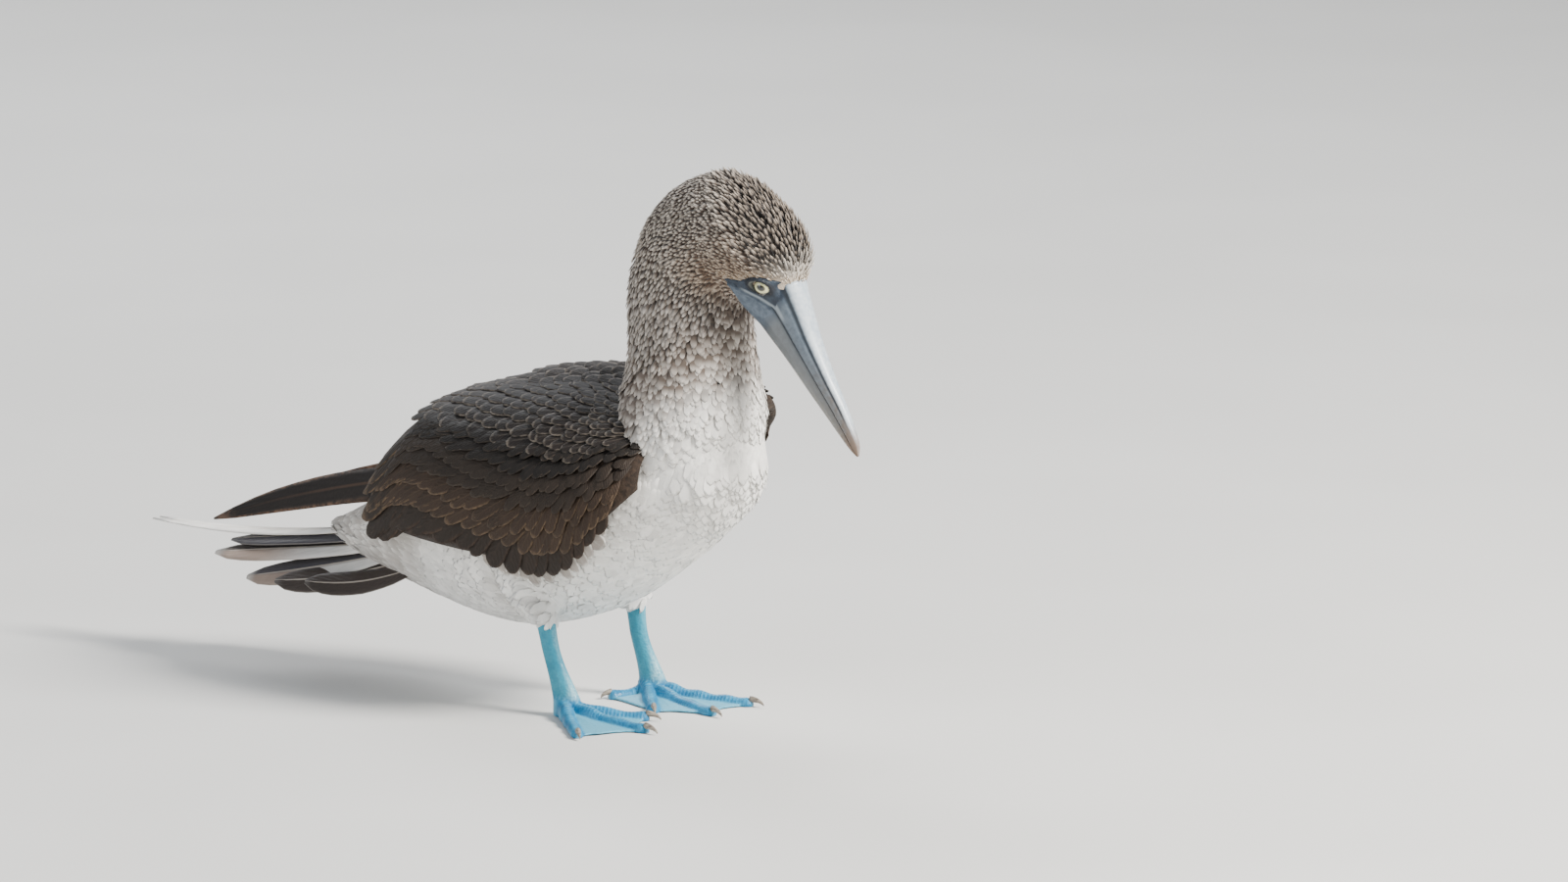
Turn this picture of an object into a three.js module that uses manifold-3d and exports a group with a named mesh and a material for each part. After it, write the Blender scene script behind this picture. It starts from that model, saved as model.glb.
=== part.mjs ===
// A blue-footed booby at life size, standing on flat ground with its neck upright and its bill bowed.
// Millimetres. +X is the way the bird faces, +Y its left side, +Z up, and the ground is z = 0.
// The sizes are written in the bird's frame, whose origin lies on the ground between the ankles.
// At the end the whole bird is moved along X and Y so that its bounding box is centred on the origin.
import * as THREE from "three";
import { mergeVertices } from "three/addons/utils/BufferGeometryUtils.js";
import Module from "manifold-3d";

const wasm = await Module();
wasm.setup();

// Driving dimensions
const GAP = 0.3; // clearance between neighbouring pieces
const BILL_TIP = new THREE.Vector3(192, 0, 175);
const HEAD_PITCH = THREE.MathUtils.degToRad(58); // how far the bill points below level
const EYE = { back: 117.5, up: 3, side: 15.6, radius: 6.3 }; // in the head's frame, from the bill tip
const EYE_PITCH = THREE.MathUtils.degToRad(18); // how far the slit of the lids slopes down ahead
const STANCE = 80; // between the two ankles
const ANKLE_HEIGHT = 11;
const TAIL_CUT_X = -165; // behind it the rump belongs to the tail
const NECK_CUT_Z = 201; // above it the neck begins
const BODY_SIDES = 24;
const HEAD_SIDES = 20;

const radians = THREE.MathUtils.degToRad;
const point = (x, y, z) => new THREE.Vector3(x, y, z);

// Reads a table of rows [position, size, size, ...] at any position, with smooth curves between its rows.
function readTable(table, at) {
  const last = table.length - 1;
  const x = THREE.MathUtils.clamp(at, table[0][0], table[last][0]);
  let i = 0;
  while (i < last - 1 && x > table[i + 1][0]) i++;
  const [before, low, high, after] = [table[Math.max(i - 1, 0)], table[i], table[i + 1], table[Math.min(i + 2, last)]];
  const span = high[0] - low[0];
  const t = (x - low[0]) / span;
  return low.slice(1).map((value, k) => {
    const column = k + 1;
    const slopeLow = ((high[column] - before[column]) / (high[0] - before[0])) * span;
    const slopeHigh = ((after[column] - low[column]) / (after[0] - low[0])) * span;
    const rise = high[column] - value;
    return value + t * (slopeLow + t * (3 * rise - 2 * slopeLow - slopeHigh + t * (slopeLow + slopeHigh - 2 * rise)));
  });
}

// Evenly spaced positions from a to b, both ends included.
const spread = (a, b, count) => Array.from({ length: count }, (_, i) => a + ((b - a) * i) / (count - 1));

// Solids

function solidOf(geometry) {
  const bare = new THREE.BufferGeometry();
  bare.setAttribute("position", geometry.getAttribute("position"));
  bare.setIndex(geometry.index);
  const merged = mergeVertices(bare, 1e-4);
  const solid = (triVerts) =>
    new wasm.Manifold(
      new wasm.Mesh({ numProp: 3, vertProperties: merged.attributes.position.array, triVerts }),
    );
  const triVerts = new Uint32Array(merged.index.array);
  const made = solid(triVerts);
  return made.volume() > 0 ? made : solid(triVerts.reverse());
}

function geometryOf(solid) {
  const mesh = solid.getMesh();
  const geometry = new THREE.BufferGeometry();
  geometry.setAttribute("position", new THREE.BufferAttribute(new Float32Array(mesh.vertProperties), 3));
  geometry.setIndex(new THREE.BufferAttribute(new Uint32Array(mesh.triVerts), 1));
  geometry.computeVertexNormals();
  return geometry;
}

// The part of a solid that is one piece: a loose scrap or a sealed hollow is left behind.
function largest(solid) {
  return solid.decompose().reduce((a, b) => (b.volume() > a.volume() ? b : a));
}

const union = (solids) => wasm.Manifold.union(solids);

// A closed solid through rings of points, with a flat cap at each end.
function loft(rings) {
  const sides = rings[0].length;
  const points = rings.flat();
  const faces = [];
  for (let r = 0; r + 1 < rings.length; r++)
    for (let i = 0; i < sides; i++) {
      const [a, b] = [r * sides + i, r * sides + ((i + 1) % sides)];
      faces.push(a, b, b + sides, a, b + sides, a + sides);
    }
  for (const [first, turned] of [[0, true], [(rings.length - 1) * sides, false]]) {
    const centre = points.length;
    const ring = points.slice(first, first + sides);
    points.push(ring.reduce((sum, p) => sum.add(p), point(0, 0, 0)).divideScalar(sides));
    for (let i = 0; i < sides; i++) {
      const [a, b] = [first + i, first + ((i + 1) % sides)];
      faces.push(...(turned ? [centre, b, a] : [centre, a, b]));
    }
  }
  const geometry = new THREE.BufferGeometry().setFromPoints(points);
  geometry.setIndex(faces);
  return solidOf(geometry);
}

// A ring round a centre: one half width across, and its own reach up and down.
function ovalRing(centre, across, up, halfWidth, reachUp, reachDown, sides) {
  return spread(0, 2 * Math.PI, sides + 1)
    .slice(0, sides)
    .map((angle) => {
      const [c, s] = [Math.cos(angle), Math.sin(angle)];
      return centre
        .clone()
        .addScaledVector(across, halfWidth * c)
        .addScaledVector(up, (s > 0 ? reachUp : reachDown) * s);
    });
}

function box(low, high) {
  const size = high.clone().sub(low);
  const geometry = new THREE.BoxGeometry(size.x, size.y, size.z);
  const middle = low.clone().add(high).multiplyScalar(0.5);
  return solidOf(geometry.translate(middle.x, middle.y, middle.z));
}


// Feather vanes

// A thin vane through stations { at, across, out, half, thick, tilt }: three points across each face,
// and both faces are split into triangles alike.
function vane(stations) {
  const points = [];
  for (const { at, across, out, half, thick, camber = 0 } of stations)
    for (const face of [0, -thick])
      for (const side of [-1, 0, 1])
        points.push(
          at
            .clone()
            .addScaledVector(across, side * half)
            .addScaledVector(out, face - camber * Math.abs(side)),
        );
  const faces = [];
  const quad = (a, b, c, d) => faces.push(a, b, c, a, c, d);
  const outer = (row, column) => row * 6 + column;
  const inner = (row, column) => row * 6 + 3 + column;
  const last = stations.length - 1;
  for (let row = 0; row < last; row++) {
    for (let column = 0; column < 2; column++) {
      quad(outer(row, column), outer(row, column + 1), outer(row + 1, column + 1), outer(row + 1, column));
      faces.push(inner(row, column), inner(row + 1, column + 1), inner(row, column + 1));
      faces.push(inner(row, column), inner(row + 1, column), inner(row + 1, column + 1));
    }
    quad(outer(row, 0), outer(row + 1, 0), inner(row + 1, 0), inner(row, 0));
    quad(outer(row, 2), inner(row, 2), inner(row + 1, 2), outer(row + 1, 2));
  }
  for (let column = 0; column < 2; column++) {
    quad(outer(0, column), inner(0, column), inner(0, column + 1), outer(0, column + 1));
    quad(outer(last, column), outer(last, column + 1), inner(last, column + 1), inner(last, column));
  }
  const geometry = new THREE.BufferGeometry().setFromPoints(points);
  geometry.setIndex(faces);
  return solidOf(geometry);
}

// How wide a vane is along its length, as a share of its full half width: narrow at the root, rounded at the tip.
const ROUND_TIP = [
  [0, 0.6],
  [0.45, 1],
  [0.83, 0.82],
  [1, 0.25],
];
const POINTED_TIP = [
  [0, 0.7],
  [0.3, 1],
  [0.65, 0.85],
  [0.88, 0.48],
  [1, 0.1],
];

// A vane that lies on a wing's surface, from a root { x, angle } to a tip { x, angle }, both in the wing's own terms.
// It is sunk at the root, raised at the tip, and tilted so that neighbours overlap like tiles.
function vaneOnWing(side, root, tip, { half, sunk, raised, tilt, outline = ROUND_TIP, thick = 0.9 }) {
  const stations = outline.map(([t, share]) => {
    const x = THREE.MathUtils.lerp(root.x, tip.x, t);
    const angle = THREE.MathUtils.lerp(root.angle, tip.angle, t);
    const at = wingSurface(side, x, angle);
    const next = wingSurface(side, x + (tip.x - root.x) * 0.05, angle + (tip.angle - root.angle) * 0.05);
    const out = wingNormal(side, x, angle);
    const along = next.sub(at).normalize();
    const across = out.clone().cross(along).normalize().multiplyScalar(side);
    const tilted = across.clone().addScaledVector(out, Math.tan(radians(tilt))).normalize();
    at.addScaledVector(out, THREE.MathUtils.lerp(-sunk, raised, Math.min(1, t * 1.8)));
    return { at, across: tilted, out, half: half * share, thick, camber: half * share * 0.16 };
  });
  return vane(stations);
}

// Trunk, neck and head as one form, parted afterwards by thin cuts

// Along the trunk: x, half width, top, bottom
const TRUNK = [
  [-206, 9, 99, 80],
  [-190, 18, 106, 74],
  [-165, 28, 121, 66],
  [-135, 36, 144, 57],
  [-100, 45, 168, 48],
  [-60, 55, 187, 43.5],
  [-20, 61, 196, 50],
  [20, 61, 200, 66],
  [55, 55, 203, 89],
  [80, 45, 200, 109],
  [97, 38, 190, 126],
  [105, 27, 178, 141],
  [109, 14, 167, 154],
];

// Up the neck: z, centre x, half length, half width
const NECK = [
  [140, 46, 48, 48],
  [170, 58, 49, 51],
  [190, 65, 46, 49],
  [205, 67, 42.5, 43.5],
  [225, 67, 39.5, 38],
  [245, 65.5, 39, 35.5],
  [265, 64.8, 38.8, 34.5],
  [285, 69.5, 40.3, 34],
  [305, 77.5, 41.3, 31.5],
  [320, 83.5, 36, 27],
  [332, 87, 24, 18],
  [338, 88, 10, 8],
];

// Along the head, in millimetres behind the bill tip: top and bottom above the bill's axis, half width
const HEAD = [
  [106, 14.5, -21, 12],
  [111, 17.5, -23, 15],
  [114, 22, -25, 17],
  [120, 26.5, -28, 20.5],
  [131, 29, -32, 25.5],
  [146, 27.5, -36, 29.5],
  [162, 21.5, -38, 30.5],
  [178, 13.5, -36, 28],
  [189, 5, -30, 22],
  [196, -3, -24, 12],
];

const headForward = point(Math.cos(HEAD_PITCH), 0, -Math.sin(HEAD_PITCH));
const headUp = point(Math.sin(HEAD_PITCH), 0, Math.cos(HEAD_PITCH));
const left = point(0, 1, 0);

// A place in the head's frame: back from the bill tip, up from the bill's axis, and to the left.
const inHead = (back, up, side = 0) =>
  BILL_TIP.clone().addScaledVector(headForward, -back).addScaledVector(headUp, up).add(point(0, side, 0));

function trunk(grow = 0) {
  const xs = [...spread(-206, -60, 7), ...spread(-35, 80, 6), 90, 98, 104, 109];
  return loft(
    xs.map((x) => {
      const [halfWidth, top, bottom] = readTable(TRUNK, x);
      const middle = bottom + 0.48 * (top - bottom);
      return ovalRing(
        point(x, 0, middle), left, point(0, 0, 1),
        halfWidth + grow, top - middle + grow, middle - bottom + grow, BODY_SIDES,
      );
    }),
  );
}

function neck(grow = 0) {
  const zs = [...spread(140, 305, 10), 318, 327, 334, 338];
  return loft(
    zs.map((z) => {
      const [centre, halfLength, halfWidth] = readTable(NECK, z);
      return ovalRing(
        point(centre, 0, z), left, point(1, 0, 0),
        halfWidth + grow, halfLength + grow, halfLength + grow, HEAD_SIDES,
      );
    }),
  );
}

function skull() {
  const backs = [106, 111, 114, 118, ...spread(124, 187, 6), 193, 196];
  return loft(
    backs.map((back) => {
      const [top, bottom, halfWidth] = readTable(HEAD, back);
      const middle = (top + bottom) / 2;
      return ovalRing(inHead(back, middle), left, headUp, halfWidth, top - middle, middle - bottom, HEAD_SIDES);
    }),
  );
}

// The feathered thigh that each leg comes out of, from deep in the belly down to the leg's top.
const THIGH = {
  right: { top: point(-36, -36, 92), end: point(-17.5, -38.5, 54) },
  left: { top: point(-24, 36, 92), end: point(-7.5, 38.5, 54) },
};

function thigh({ top, end }) {
  const shares = [[0, 25, 19], [0.45, 19, 14], [0.8, 12.5, 9.5], [1, 8.5, 7]];
  return loft(
    shares.map(([t, halfLength, halfWidth]) =>
      ovalRing(top.clone().lerp(end, t), left, point(1, 0, 0), halfWidth, halfLength, halfLength, 12),
    ),
  );
}

// A line at an angle in the side view: what lies above it stays, or what lies below.
function halfSpace(through, pitch, above) {
  const size = 900;
  const geometry = new THREE.BoxGeometry(size, size, size);
  geometry.translate(0, 0, above ? size / 2 + GAP / 2 : -size / 2 - GAP / 2);
  geometry.rotateY(-pitch);
  geometry.translate(through.x, through.y, through.z);
  return solidOf(geometry);
}

// The head ends at a cut from the throat's hollow up to the nape, and the neck at a nearly level one.
const THROAT = point(101, 0, 257);
const HEAD_CUT_PITCH = radians(-24);
const NECK_BASE = point(67, 0, NECK_CUT_Z);
const NECK_CUT_PITCH = radians(-6);

// Eyes

const eyeAt = (side) => inHead(EYE.back, EYE.up, -side * EYE.side);

// Lids: a shallow swelling round the eye with an almond opening.
const LID = { radius: 7.4, openLong: 5, openHigh: 3, rows: 10 };

function ball(centre, radius, segments = 13) {
  const geometry = new THREE.SphereGeometry(radius, segments, Math.round(segments * 0.7));
  return solidOf(geometry.translate(centre.x, centre.y, centre.z));
}

function lidOpening(side) {
  const centre = eyeAt(side);
  const across = point(Math.cos(EYE_PITCH), 0, -Math.sin(EYE_PITCH));
  const up = point(Math.sin(EYE_PITCH), 0, Math.cos(EYE_PITCH));
  const reach = [0, 14].map((out) => centre.clone().add(point(0, -side * out, 0)));
  return loft(
    reach.map((at) => ovalRing(at, across, up, LID.openLong, LID.openHigh, LID.openHigh, LID.rows)),
  );
}

// The line of the mouth runs on behind the bill, below the eye, as a shallow groove that bends down.
const MOUTH_LINE = [[104, 1], [112, -3.5], [122, -9.5], [134, -18.5]]; // back from the tip, up

function mouthGroove(side) {
  const pieces = [];
  for (let i = 0; i + 1 < MOUTH_LINE.length; i++) {
    const rings = [MOUTH_LINE[i], MOUTH_LINE[i + 1]].map(([back, up]) => {
      const [, , halfWidth] = readTable(HEAD, back);
      const centre = inHead(back, up, -side * (halfWidth + 3));
      return ovalRing(centre, left, headUp, 5, 0.7, 0.7, 8);
    });
    pieces.push(loft(rings));
  }
  return union(pieces);
}

// Bill: an upper and a lower half that meet along the line of the mouth

// back from the tip, top of the upper half, bottom of the lower half, half width at the mouth line, the line itself
const BILL = [
  [1, 0.9, -0.6, 0.8, 0],
  [6, 4.3, -2.4, 2.4, 0.3],
  [15, 6, -4.4, 3.9, 1],
  [31, 7.7, -7.4, 5.4, 1.2],
  [50, 8.6, -11, 7.2, 0.7],
  [76, 11.4, -15.6, 9.8, 0.3],
  [95, 15.2, -19.8, 12, 0.4],
  [105.7, 17.6, -22, 13.4, 0.2],
];
const BILL_BACKS = [1, 3.4, 7, 14, 24, 36, 50, 68, 87, 105.7];

function billHalf(upper) {
  const steps = 7;
  return loft(
    BILL_BACKS.map((back) => {
      const [top, bottom, halfWidth, line] = readTable(BILL, back);
      const edge = line + (upper ? GAP / 2 : -GAP / 2);
      const reach = (upper ? top : bottom) - edge;
      return spread(0, Math.PI, steps + 1).map((angle) => {
        const narrowing = upper ? Math.pow(Math.sin(angle), 0.85) : Math.pow(Math.sin(angle), 0.75);
        return inHead(back, edge + reach * narrowing, halfWidth * Math.cos(angle));
      });
    }),
  );
}

// Wings

// Along a wing, from behind to the wrist: x, half width of the bird over its wings, height of the middle, half height
const WING = [
  [-330, 10, 92, 9],
  [-205, 25, 104, 22],
  [-160, 43, 112, 42],
  [-127, 56, 119, 64],
  [-90, 67.5, 125, 70],
  [-50, 74, 129, 72],
  [-10, 76.5, 132, 74],
  [25, 75, 137, 68],
  [50, 70, 145, 58],
  [64, 61, 151, 47],
  [73, 51, 155, 36],
];
// The left wing is held a little higher over the back, and its wrist higher, further forward and out.
const LEFT_WING = { raise: 9, forward: 12, out: 11, wristUp: 29, wristThin: 0.34 };

// The wing's outer surface. The angle is 0 over the back, 90 at the side and more below it.
function wingSurface(side, x, angle) {
  const [halfWidth, middle, halfHeight] = readTable(WING, x);
  const a = radians(angle);
  const shift = side < 0 ? 1 : 0;
  const atWrist = shift * THREE.MathUtils.smoothstep(x, -10, 64);
  const overBack = angle < 90 ? shift * Math.min(1, halfHeight / 60) * (1 - 0.8 * atWrist) : 0;
  const height = halfHeight * (1 - LEFT_WING.wristThin * atWrist) + LEFT_WING.raise * overBack;
  return point(
    x + LEFT_WING.forward * atWrist,
    -side * (halfWidth + LEFT_WING.out * atWrist) * Math.sin(a),
    middle + LEFT_WING.wristUp * atWrist + height * Math.cos(a),
  );
}

function wingNormal(side, x, angle) {
  const step = 0.5;
  const alongX = wingSurface(side, x + step, angle).sub(wingSurface(side, x - step, angle));
  const round = wingSurface(side, x, angle + step).sub(wingSurface(side, x, angle - step));
  return alongX.cross(round).normalize().multiplyScalar(-side);
}

// The wing's core: x, first angle, last angle, depth below the surface
const WING_CORE = [
  [-150, 46, 88, 5],
  [-136, 34, 98, 7],
  [-118, 24, 104, 9],
  [-85, 17, 110, 12],
  [-40, 15, 115, 17],
  [0, 16, 116, 20],
  [30, 21, 110, 20],
  [50, 32, 104, 18],
  [62, 44, 98, 15],
  [70, 58, 92, 9],
];

function wingCore(side) {
  const columns = 8;
  const xs = [-150, -136, -118, -92, -60, -20, 18, 44, 58, 66, 70];
  return loft(
    xs.map((x) => {
      const [first, last, depth] = readTable(WING_CORE, x);
      const angles = spread(first, last, columns);
      const outer = angles.map((angle) => wingSurface(side, x, angle));
      const inner = angles.slice(1, -1).map((angle, i) => {
        const share = Math.sqrt(Math.sin((Math.PI * (i + 1)) / (columns - 1)));
        return wingSurface(side, x, angle).addScaledVector(wingNormal(side, x, angle), -depth * share);
      });
      return [...outer, ...inner.reverse()];
    }),
  );
}

// Tiers of feathers on the wing. Each row runs from its first vane at the front to its last at the back.
const WING_ROWS = {
  scapularsUpper: {
    count: 5, half: 13, sunk: 2.5, raised: 2.2, tilt: 5,
    roots: [[28, 20], [-72, 14]], tips: [[-14, 29], [-120, 22]],
  },
  scapularsLower: {
    count: 5, half: 13.5, sunk: 2.5, raised: 2, tilt: 5,
    roots: [[40, 42], [-70, 30]], tips: [[2, 52], [-124, 38]],
  },
  medianCoverts: {
    count: 6, half: 13, sunk: 2.5, raised: 1.9, tilt: 5,
    roots: [[42, 68], [-84, 42]], tips: [[12, 95], [-136, 62]],
  },
  greaterCoverts: {
    count: 7, half: 12.5, sunk: 2.8, raised: 1.7, tilt: 5,
    roots: [[38, 84], [-92, 56]], tips: [[4, 112], [-145, 80]],
  },
  secondaries: {
    count: 9, half: 12.5, sunk: 4.5, raised: 0.6, tilt: 5,
    roots: [[24, 96], [-98, 72]], tips: [[-8, 126], [-160, 112]],
  },
};

function featherRow(side, { count, roots, tips, ...shape }) {
  return spread(0, 1, count).map((t, i) => {
    const between = ([a, b]) => ({
      x: THREE.MathUtils.lerp(a[0], b[0], t),
      angle: THREE.MathUtils.lerp(a[1], b[1], t),
    });
    const tip = between(tips);
    tip.x += [0, 2.5, -1.5][i % 3];
    return vaneOnWing(side, between(roots), tip, shape);
  });
}

// Primaries: long pointed vanes stacked on edge, from inside the wing's hand to a crossing over the tail.
const PRIMARIES = { count: 5, half: 10.5, thick: 0.9, stack: 1.5, stepBack: 19 };
const PRIMARY_PATH = [
  point(-104, 55, 137),
  point(-150, 39.5, 129),
  point(-200, 28, 117),
  point(-250, 19, 103),
  point(-300, 12, 86),
];

function primary(side, order) {
  const path = new THREE.CatmullRomCurve3(
    PRIMARY_PATH.map((p) => point(p.x, -side * p.y, p.z)),
  );
  const reach = 1 - (order * PRIMARIES.stepBack) / 205;
  const stations = [0, 0.3, 0.55, 0.78, 0.92, 1].map((t) => {
    const at = path.getPoint(t * reach);
    const along = path.getTangent(t * reach);
    const out = point(-side * along.y, -side, 0.42).normalize();
    const across = out.clone().cross(along).normalize();
    const [share] = readTable(POINTED_TIP, t);
    at.addScaledVector(out, -order * PRIMARIES.stack);
    return { at, across, out, half: PRIMARIES.half * share, thick: PRIMARIES.thick };
  });
  return vane(stations);
}

function wing(side, body) {
  const vanes = Object.values(WING_ROWS).flatMap((row) => featherRow(side, row));
  const primaries = spread(0, PRIMARIES.count - 1, PRIMARIES.count).map((order) => primary(side, order));
  return largest(union([wingCore(side), ...vanes, ...primaries]).subtract(body));
}

// Tail: pairs of vanes on each side, the middle pair longest and highest
const TAIL = [
  { rootSide: 3, tip: point(-356, 3.5, 79), half: 9 },
  { rootSide: 6, tip: point(-287, 10, 74), half: 11 },
  { rootSide: 9, tip: point(-293, 19, 67), half: 11.5 },
  { rootSide: 12, tip: point(-260, 29, 57), half: 12 },
  { rootSide: 14, tip: point(-226, 37, 54), half: 11 },
];
const TAIL_ROOT = { x: -176, z: 94, drop: 3.4 };

function tailVane(side, order) {
  const { rootSide, tip, half } = TAIL[order];
  const root = point(TAIL_ROOT.x, -side * rootSide, TAIL_ROOT.z - order * TAIL_ROOT.drop);
  const end = point(tip.x, -side * tip.y, tip.z);
  const out = point(0, -side * (0.12 + 0.22 * order), 1).normalize();
  const outline = order === 0 ? POINTED_TIP : ROUND_TIP;
  const sag = order === 0 ? -5 : 2.5;
  return vane(
    outline.map(([t, share]) => {
      const at = root.clone().lerp(end, t).add(point(0, 0, sag * Math.sin(Math.PI * t)));
      const along = end.clone().sub(root).normalize();
      const across = out.clone().cross(along).normalize();
      return { at, across, out, half: half * share, thick: 1, camber: 0.8 };
    }),
  );
}

// Upper and under tail coverts: shorter vanes that cover the roots of the tail.
function tailCovert(side, order, above) {
  const root = point(-172 + order * 2, -side * (5 + 8 * order), above ? 106 - 4 * order : 74 + 3.5 * order);
  const end = point(-222 + order * 9, -side * (4 + 9.5 * order), above ? 98 - 4.5 * order : 70 + 2 * order);
  const out = point(0, -side * (0.1 + 0.25 * order), above ? 1 : -1).normalize();
  return vane(
    ROUND_TIP.map(([t, share]) => {
      const at = root.clone().lerp(end, t);
      const across = out.clone().cross(end.clone().sub(root).normalize()).normalize();
      return { at, across, out, half: 9.5 * share, thick: 1, camber: 1 };
    }),
  );
}

// Legs and feet

// Each ankle, and the way each toe points, in degrees from straight ahead towards the left.
const LEG = {
  right: { ankle: point(-3, -STANCE / 2, ANKLE_HEIGHT), toes: { hind: 112, inner: 20, middle: -10, outer: -45 } },
  left: { ankle: point(0, STANCE / 2, ANKLE_HEIGHT), toes: { hind: -122, inner: -48, middle: -20, outer: 10 } },
};

function leg(name) {
  const top = THIGH[name].end.clone().add(point(0, 0, -GAP));
  const bottom = LEG[name].ankle.clone().add(point(0, 0, GAP));
  const shares = [[0, 6.6, 5.2], [0.25, 5.9, 4.3], [0.55, 5.9, 4.2], [0.85, 6.6, 4.8], [1, 7.4, 5.6]];
  return loft(
    shares.map(([t, halfLength, halfWidth]) => {
      const at = top.clone().lerp(bottom, t);
      at.x -= 1.6 * Math.sin(Math.PI * t);
      return ovalRing(at, left, point(1, 0, 0), halfWidth, halfLength, halfLength, 14);
    }),
  );
}

// Toes in order round the foot, with webs between all four
const TOES = [
  { name: "hind", length: 25, claw: 5.5 },
  { name: "inner", length: 55, claw: 8 },
  { name: "middle", length: 76, claw: 9.5 },
  { name: "outer", length: 73, claw: 8 },
];
const TOE = { baseHalf: 4.6, tipHalf: 3, baseHeight: 9, tipHeight: 5.2, sides: 9 };
const WEB = { thick: 1.3, lift: 0.5, start: 0.08, notch: 0.1, columns: 3, rows: 4 };

function toeDirection(name, kind) {
  const heading = radians(LEG[name].toes[kind.name]);
  return point(Math.cos(heading), Math.sin(heading), 0);
}

// A flat-soled arch across a toe, of a given half width and height.
function archRing(at, across, half, height) {
  const arch = spread(0, Math.PI, TOE.sides - 2).map((angle) =>
    at
      .clone()
      .addScaledVector(across, half * Math.cos(angle))
      .add(point(0, 0, height * (0.25 + 0.75 * Math.sin(angle)))),
  );
  const sole = [-0.72, 0.72].map((share) => at.clone().addScaledVector(across, share * half));
  return [...arch, ...sole];
}

function toe(name, kind) {
  const direction = toeDirection(name, kind);
  const across = point(0, 0, 1).cross(direction);
  const ankle = LEG[name].ankle.clone().setZ(0);
  return loft(
    [-0.06, 0.12, 0.36, 0.64, 0.88, 1].map((t) => {
      const joint = 1 + 0.05 * Math.cos(6 * Math.PI * t);
      const close = t === 1 ? 0.72 : 1;
      const half = THREE.MathUtils.lerp(TOE.baseHalf, TOE.tipHalf, Math.max(t, 0)) * joint * close;
      const height = THREE.MathUtils.lerp(TOE.baseHeight, TOE.tipHeight, Math.pow(Math.max(t, 0), 0.7)) * joint * close;
      return archRing(ankle.clone().addScaledVector(direction, t * kind.length), across, half, height);
    }),
  );
}

// A web between two toes: a thin sheet whose free edge is drawn in between the toe tips.
function web(name, first, second) {
  const ankle = LEG[name].ankle.clone().setZ(0);
  const [a, b] = [first, second].map((kind) => toeDirection(name, kind).multiplyScalar(kind.length * 0.97));
  const points = [];
  for (const top of [true, false])
    for (const t of spread(WEB.start, 1, WEB.rows))
      for (const s of spread(0, 1, WEB.columns)) {
        const drawn = 1 - WEB.notch * Math.sin(Math.PI * s) * t;
        const at = a.clone().lerp(b, s).multiplyScalar(t * drawn).add(ankle);
        at.z = WEB.lift + 1.6 * Math.sin(Math.PI * s) * (1 - t) + (top ? WEB.thick : 0);
        points.push(at);
      }
  const half = WEB.rows * WEB.columns;
  const index = (row, column, top) => (top ? 0 : half) + row * WEB.columns + column;
  const faces = [];
  for (let row = 0; row + 1 < WEB.rows; row++)
    for (let column = 0; column + 1 < WEB.columns; column++)
      for (const top of [true, false]) {
        const [p, q, r, s] = [[0, 0], [0, 1], [1, 1], [1, 0]].map(([i, j]) => index(row + i, column + j, top));
        faces.push(...(top ? [p, q, r, p, r, s] : [p, r, q, p, s, r]));
      }
  const rim = [];
  for (let column = 0; column + 1 < WEB.columns; column++) rim.push([0, column]);
  for (let row = 0; row + 1 < WEB.rows; row++) rim.push([row, WEB.columns - 1]);
  for (let column = WEB.columns - 1; column > 0; column--) rim.push([WEB.rows - 1, column]);
  for (let row = WEB.rows - 1; row > 0; row--) rim.push([row, 0]);
  rim.forEach(([row, column], i) => {
    const [nextRow, nextColumn] = rim[(i + 1) % rim.length];
    const [p, q] = [index(row, column, true), index(nextRow, nextColumn, true)];
    const [r, s] = [index(nextRow, nextColumn, false), index(row, column, false)];
    faces.push(p, r, q, p, s, r);
  });
  const geometry = new THREE.BufferGeometry().setFromPoints(points);
  geometry.setIndex(faces);
  return solidOf(geometry);
}

function foot(name) {
  const pad = loft(
    [[0, 7.2, 6], [0.5, 8.2, 7], [1, 7.2, 5.6]].map(([t, halfLength, halfWidth]) =>
      ovalRing(LEG[name].ankle.clone().setZ(ANKLE_HEIGHT * t), left, point(1, 0, 0), halfWidth, halfLength, halfLength, 14),
    ),
  );
  const toes = TOES.map((kind) => toe(name, kind));
  const webs = [0, 1, 2].map((i) => web(name, TOES[i], TOES[i + 1]));
  return largest(union([pad, ...toes, ...webs]).trimByPlane([0, 0, -1], -ANKLE_HEIGHT));
}

// A claw that curves from the toe's end down to just above the ground.
function claw(name, kind) {
  const direction = toeDirection(name, kind);
  const across = point(0, 0, 1).cross(direction);
  const start = LEG[name].ankle.clone().setZ(0).addScaledVector(direction, kind.length + GAP);
  const path = [[0, 2.1, 1.55], [0.4, 2.2, 1.3], [0.75, 1.4, 0.85], [1, 0.45, 0.3]];
  return loft(
    path.map(([t, height, half]) => {
      const at = start.clone().addScaledVector(direction, t * kind.claw).add(point(0, 0, height + 0.1));
      const up = point(0, 0, 1).addScaledVector(direction, 0.5 * t).normalize();
      return ovalRing(at, across, up, half, half * 1.15, half * 1.15, 8);
    }),
  );
}

// The bird

const COLOURS = {
  headFeathers: ["#b9a998", 0.85],
  neckFeathers: ["#b7aa9d", 0.85],
  bodyFeathers: ["#e9e6e0", 0.9],
  wingFeathers: ["#3d2f26", 0.7],
  tailFeathers: ["#8b7d72", 0.75],
  bill: ["#76818c", 0.4],
  eye: ["#d9cf8a", 0.12],
  skin: ["#4fb3cf", 0.5],
  claw: ["#8f8579", 0.45],
};

const bird = new THREE.Group();

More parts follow.
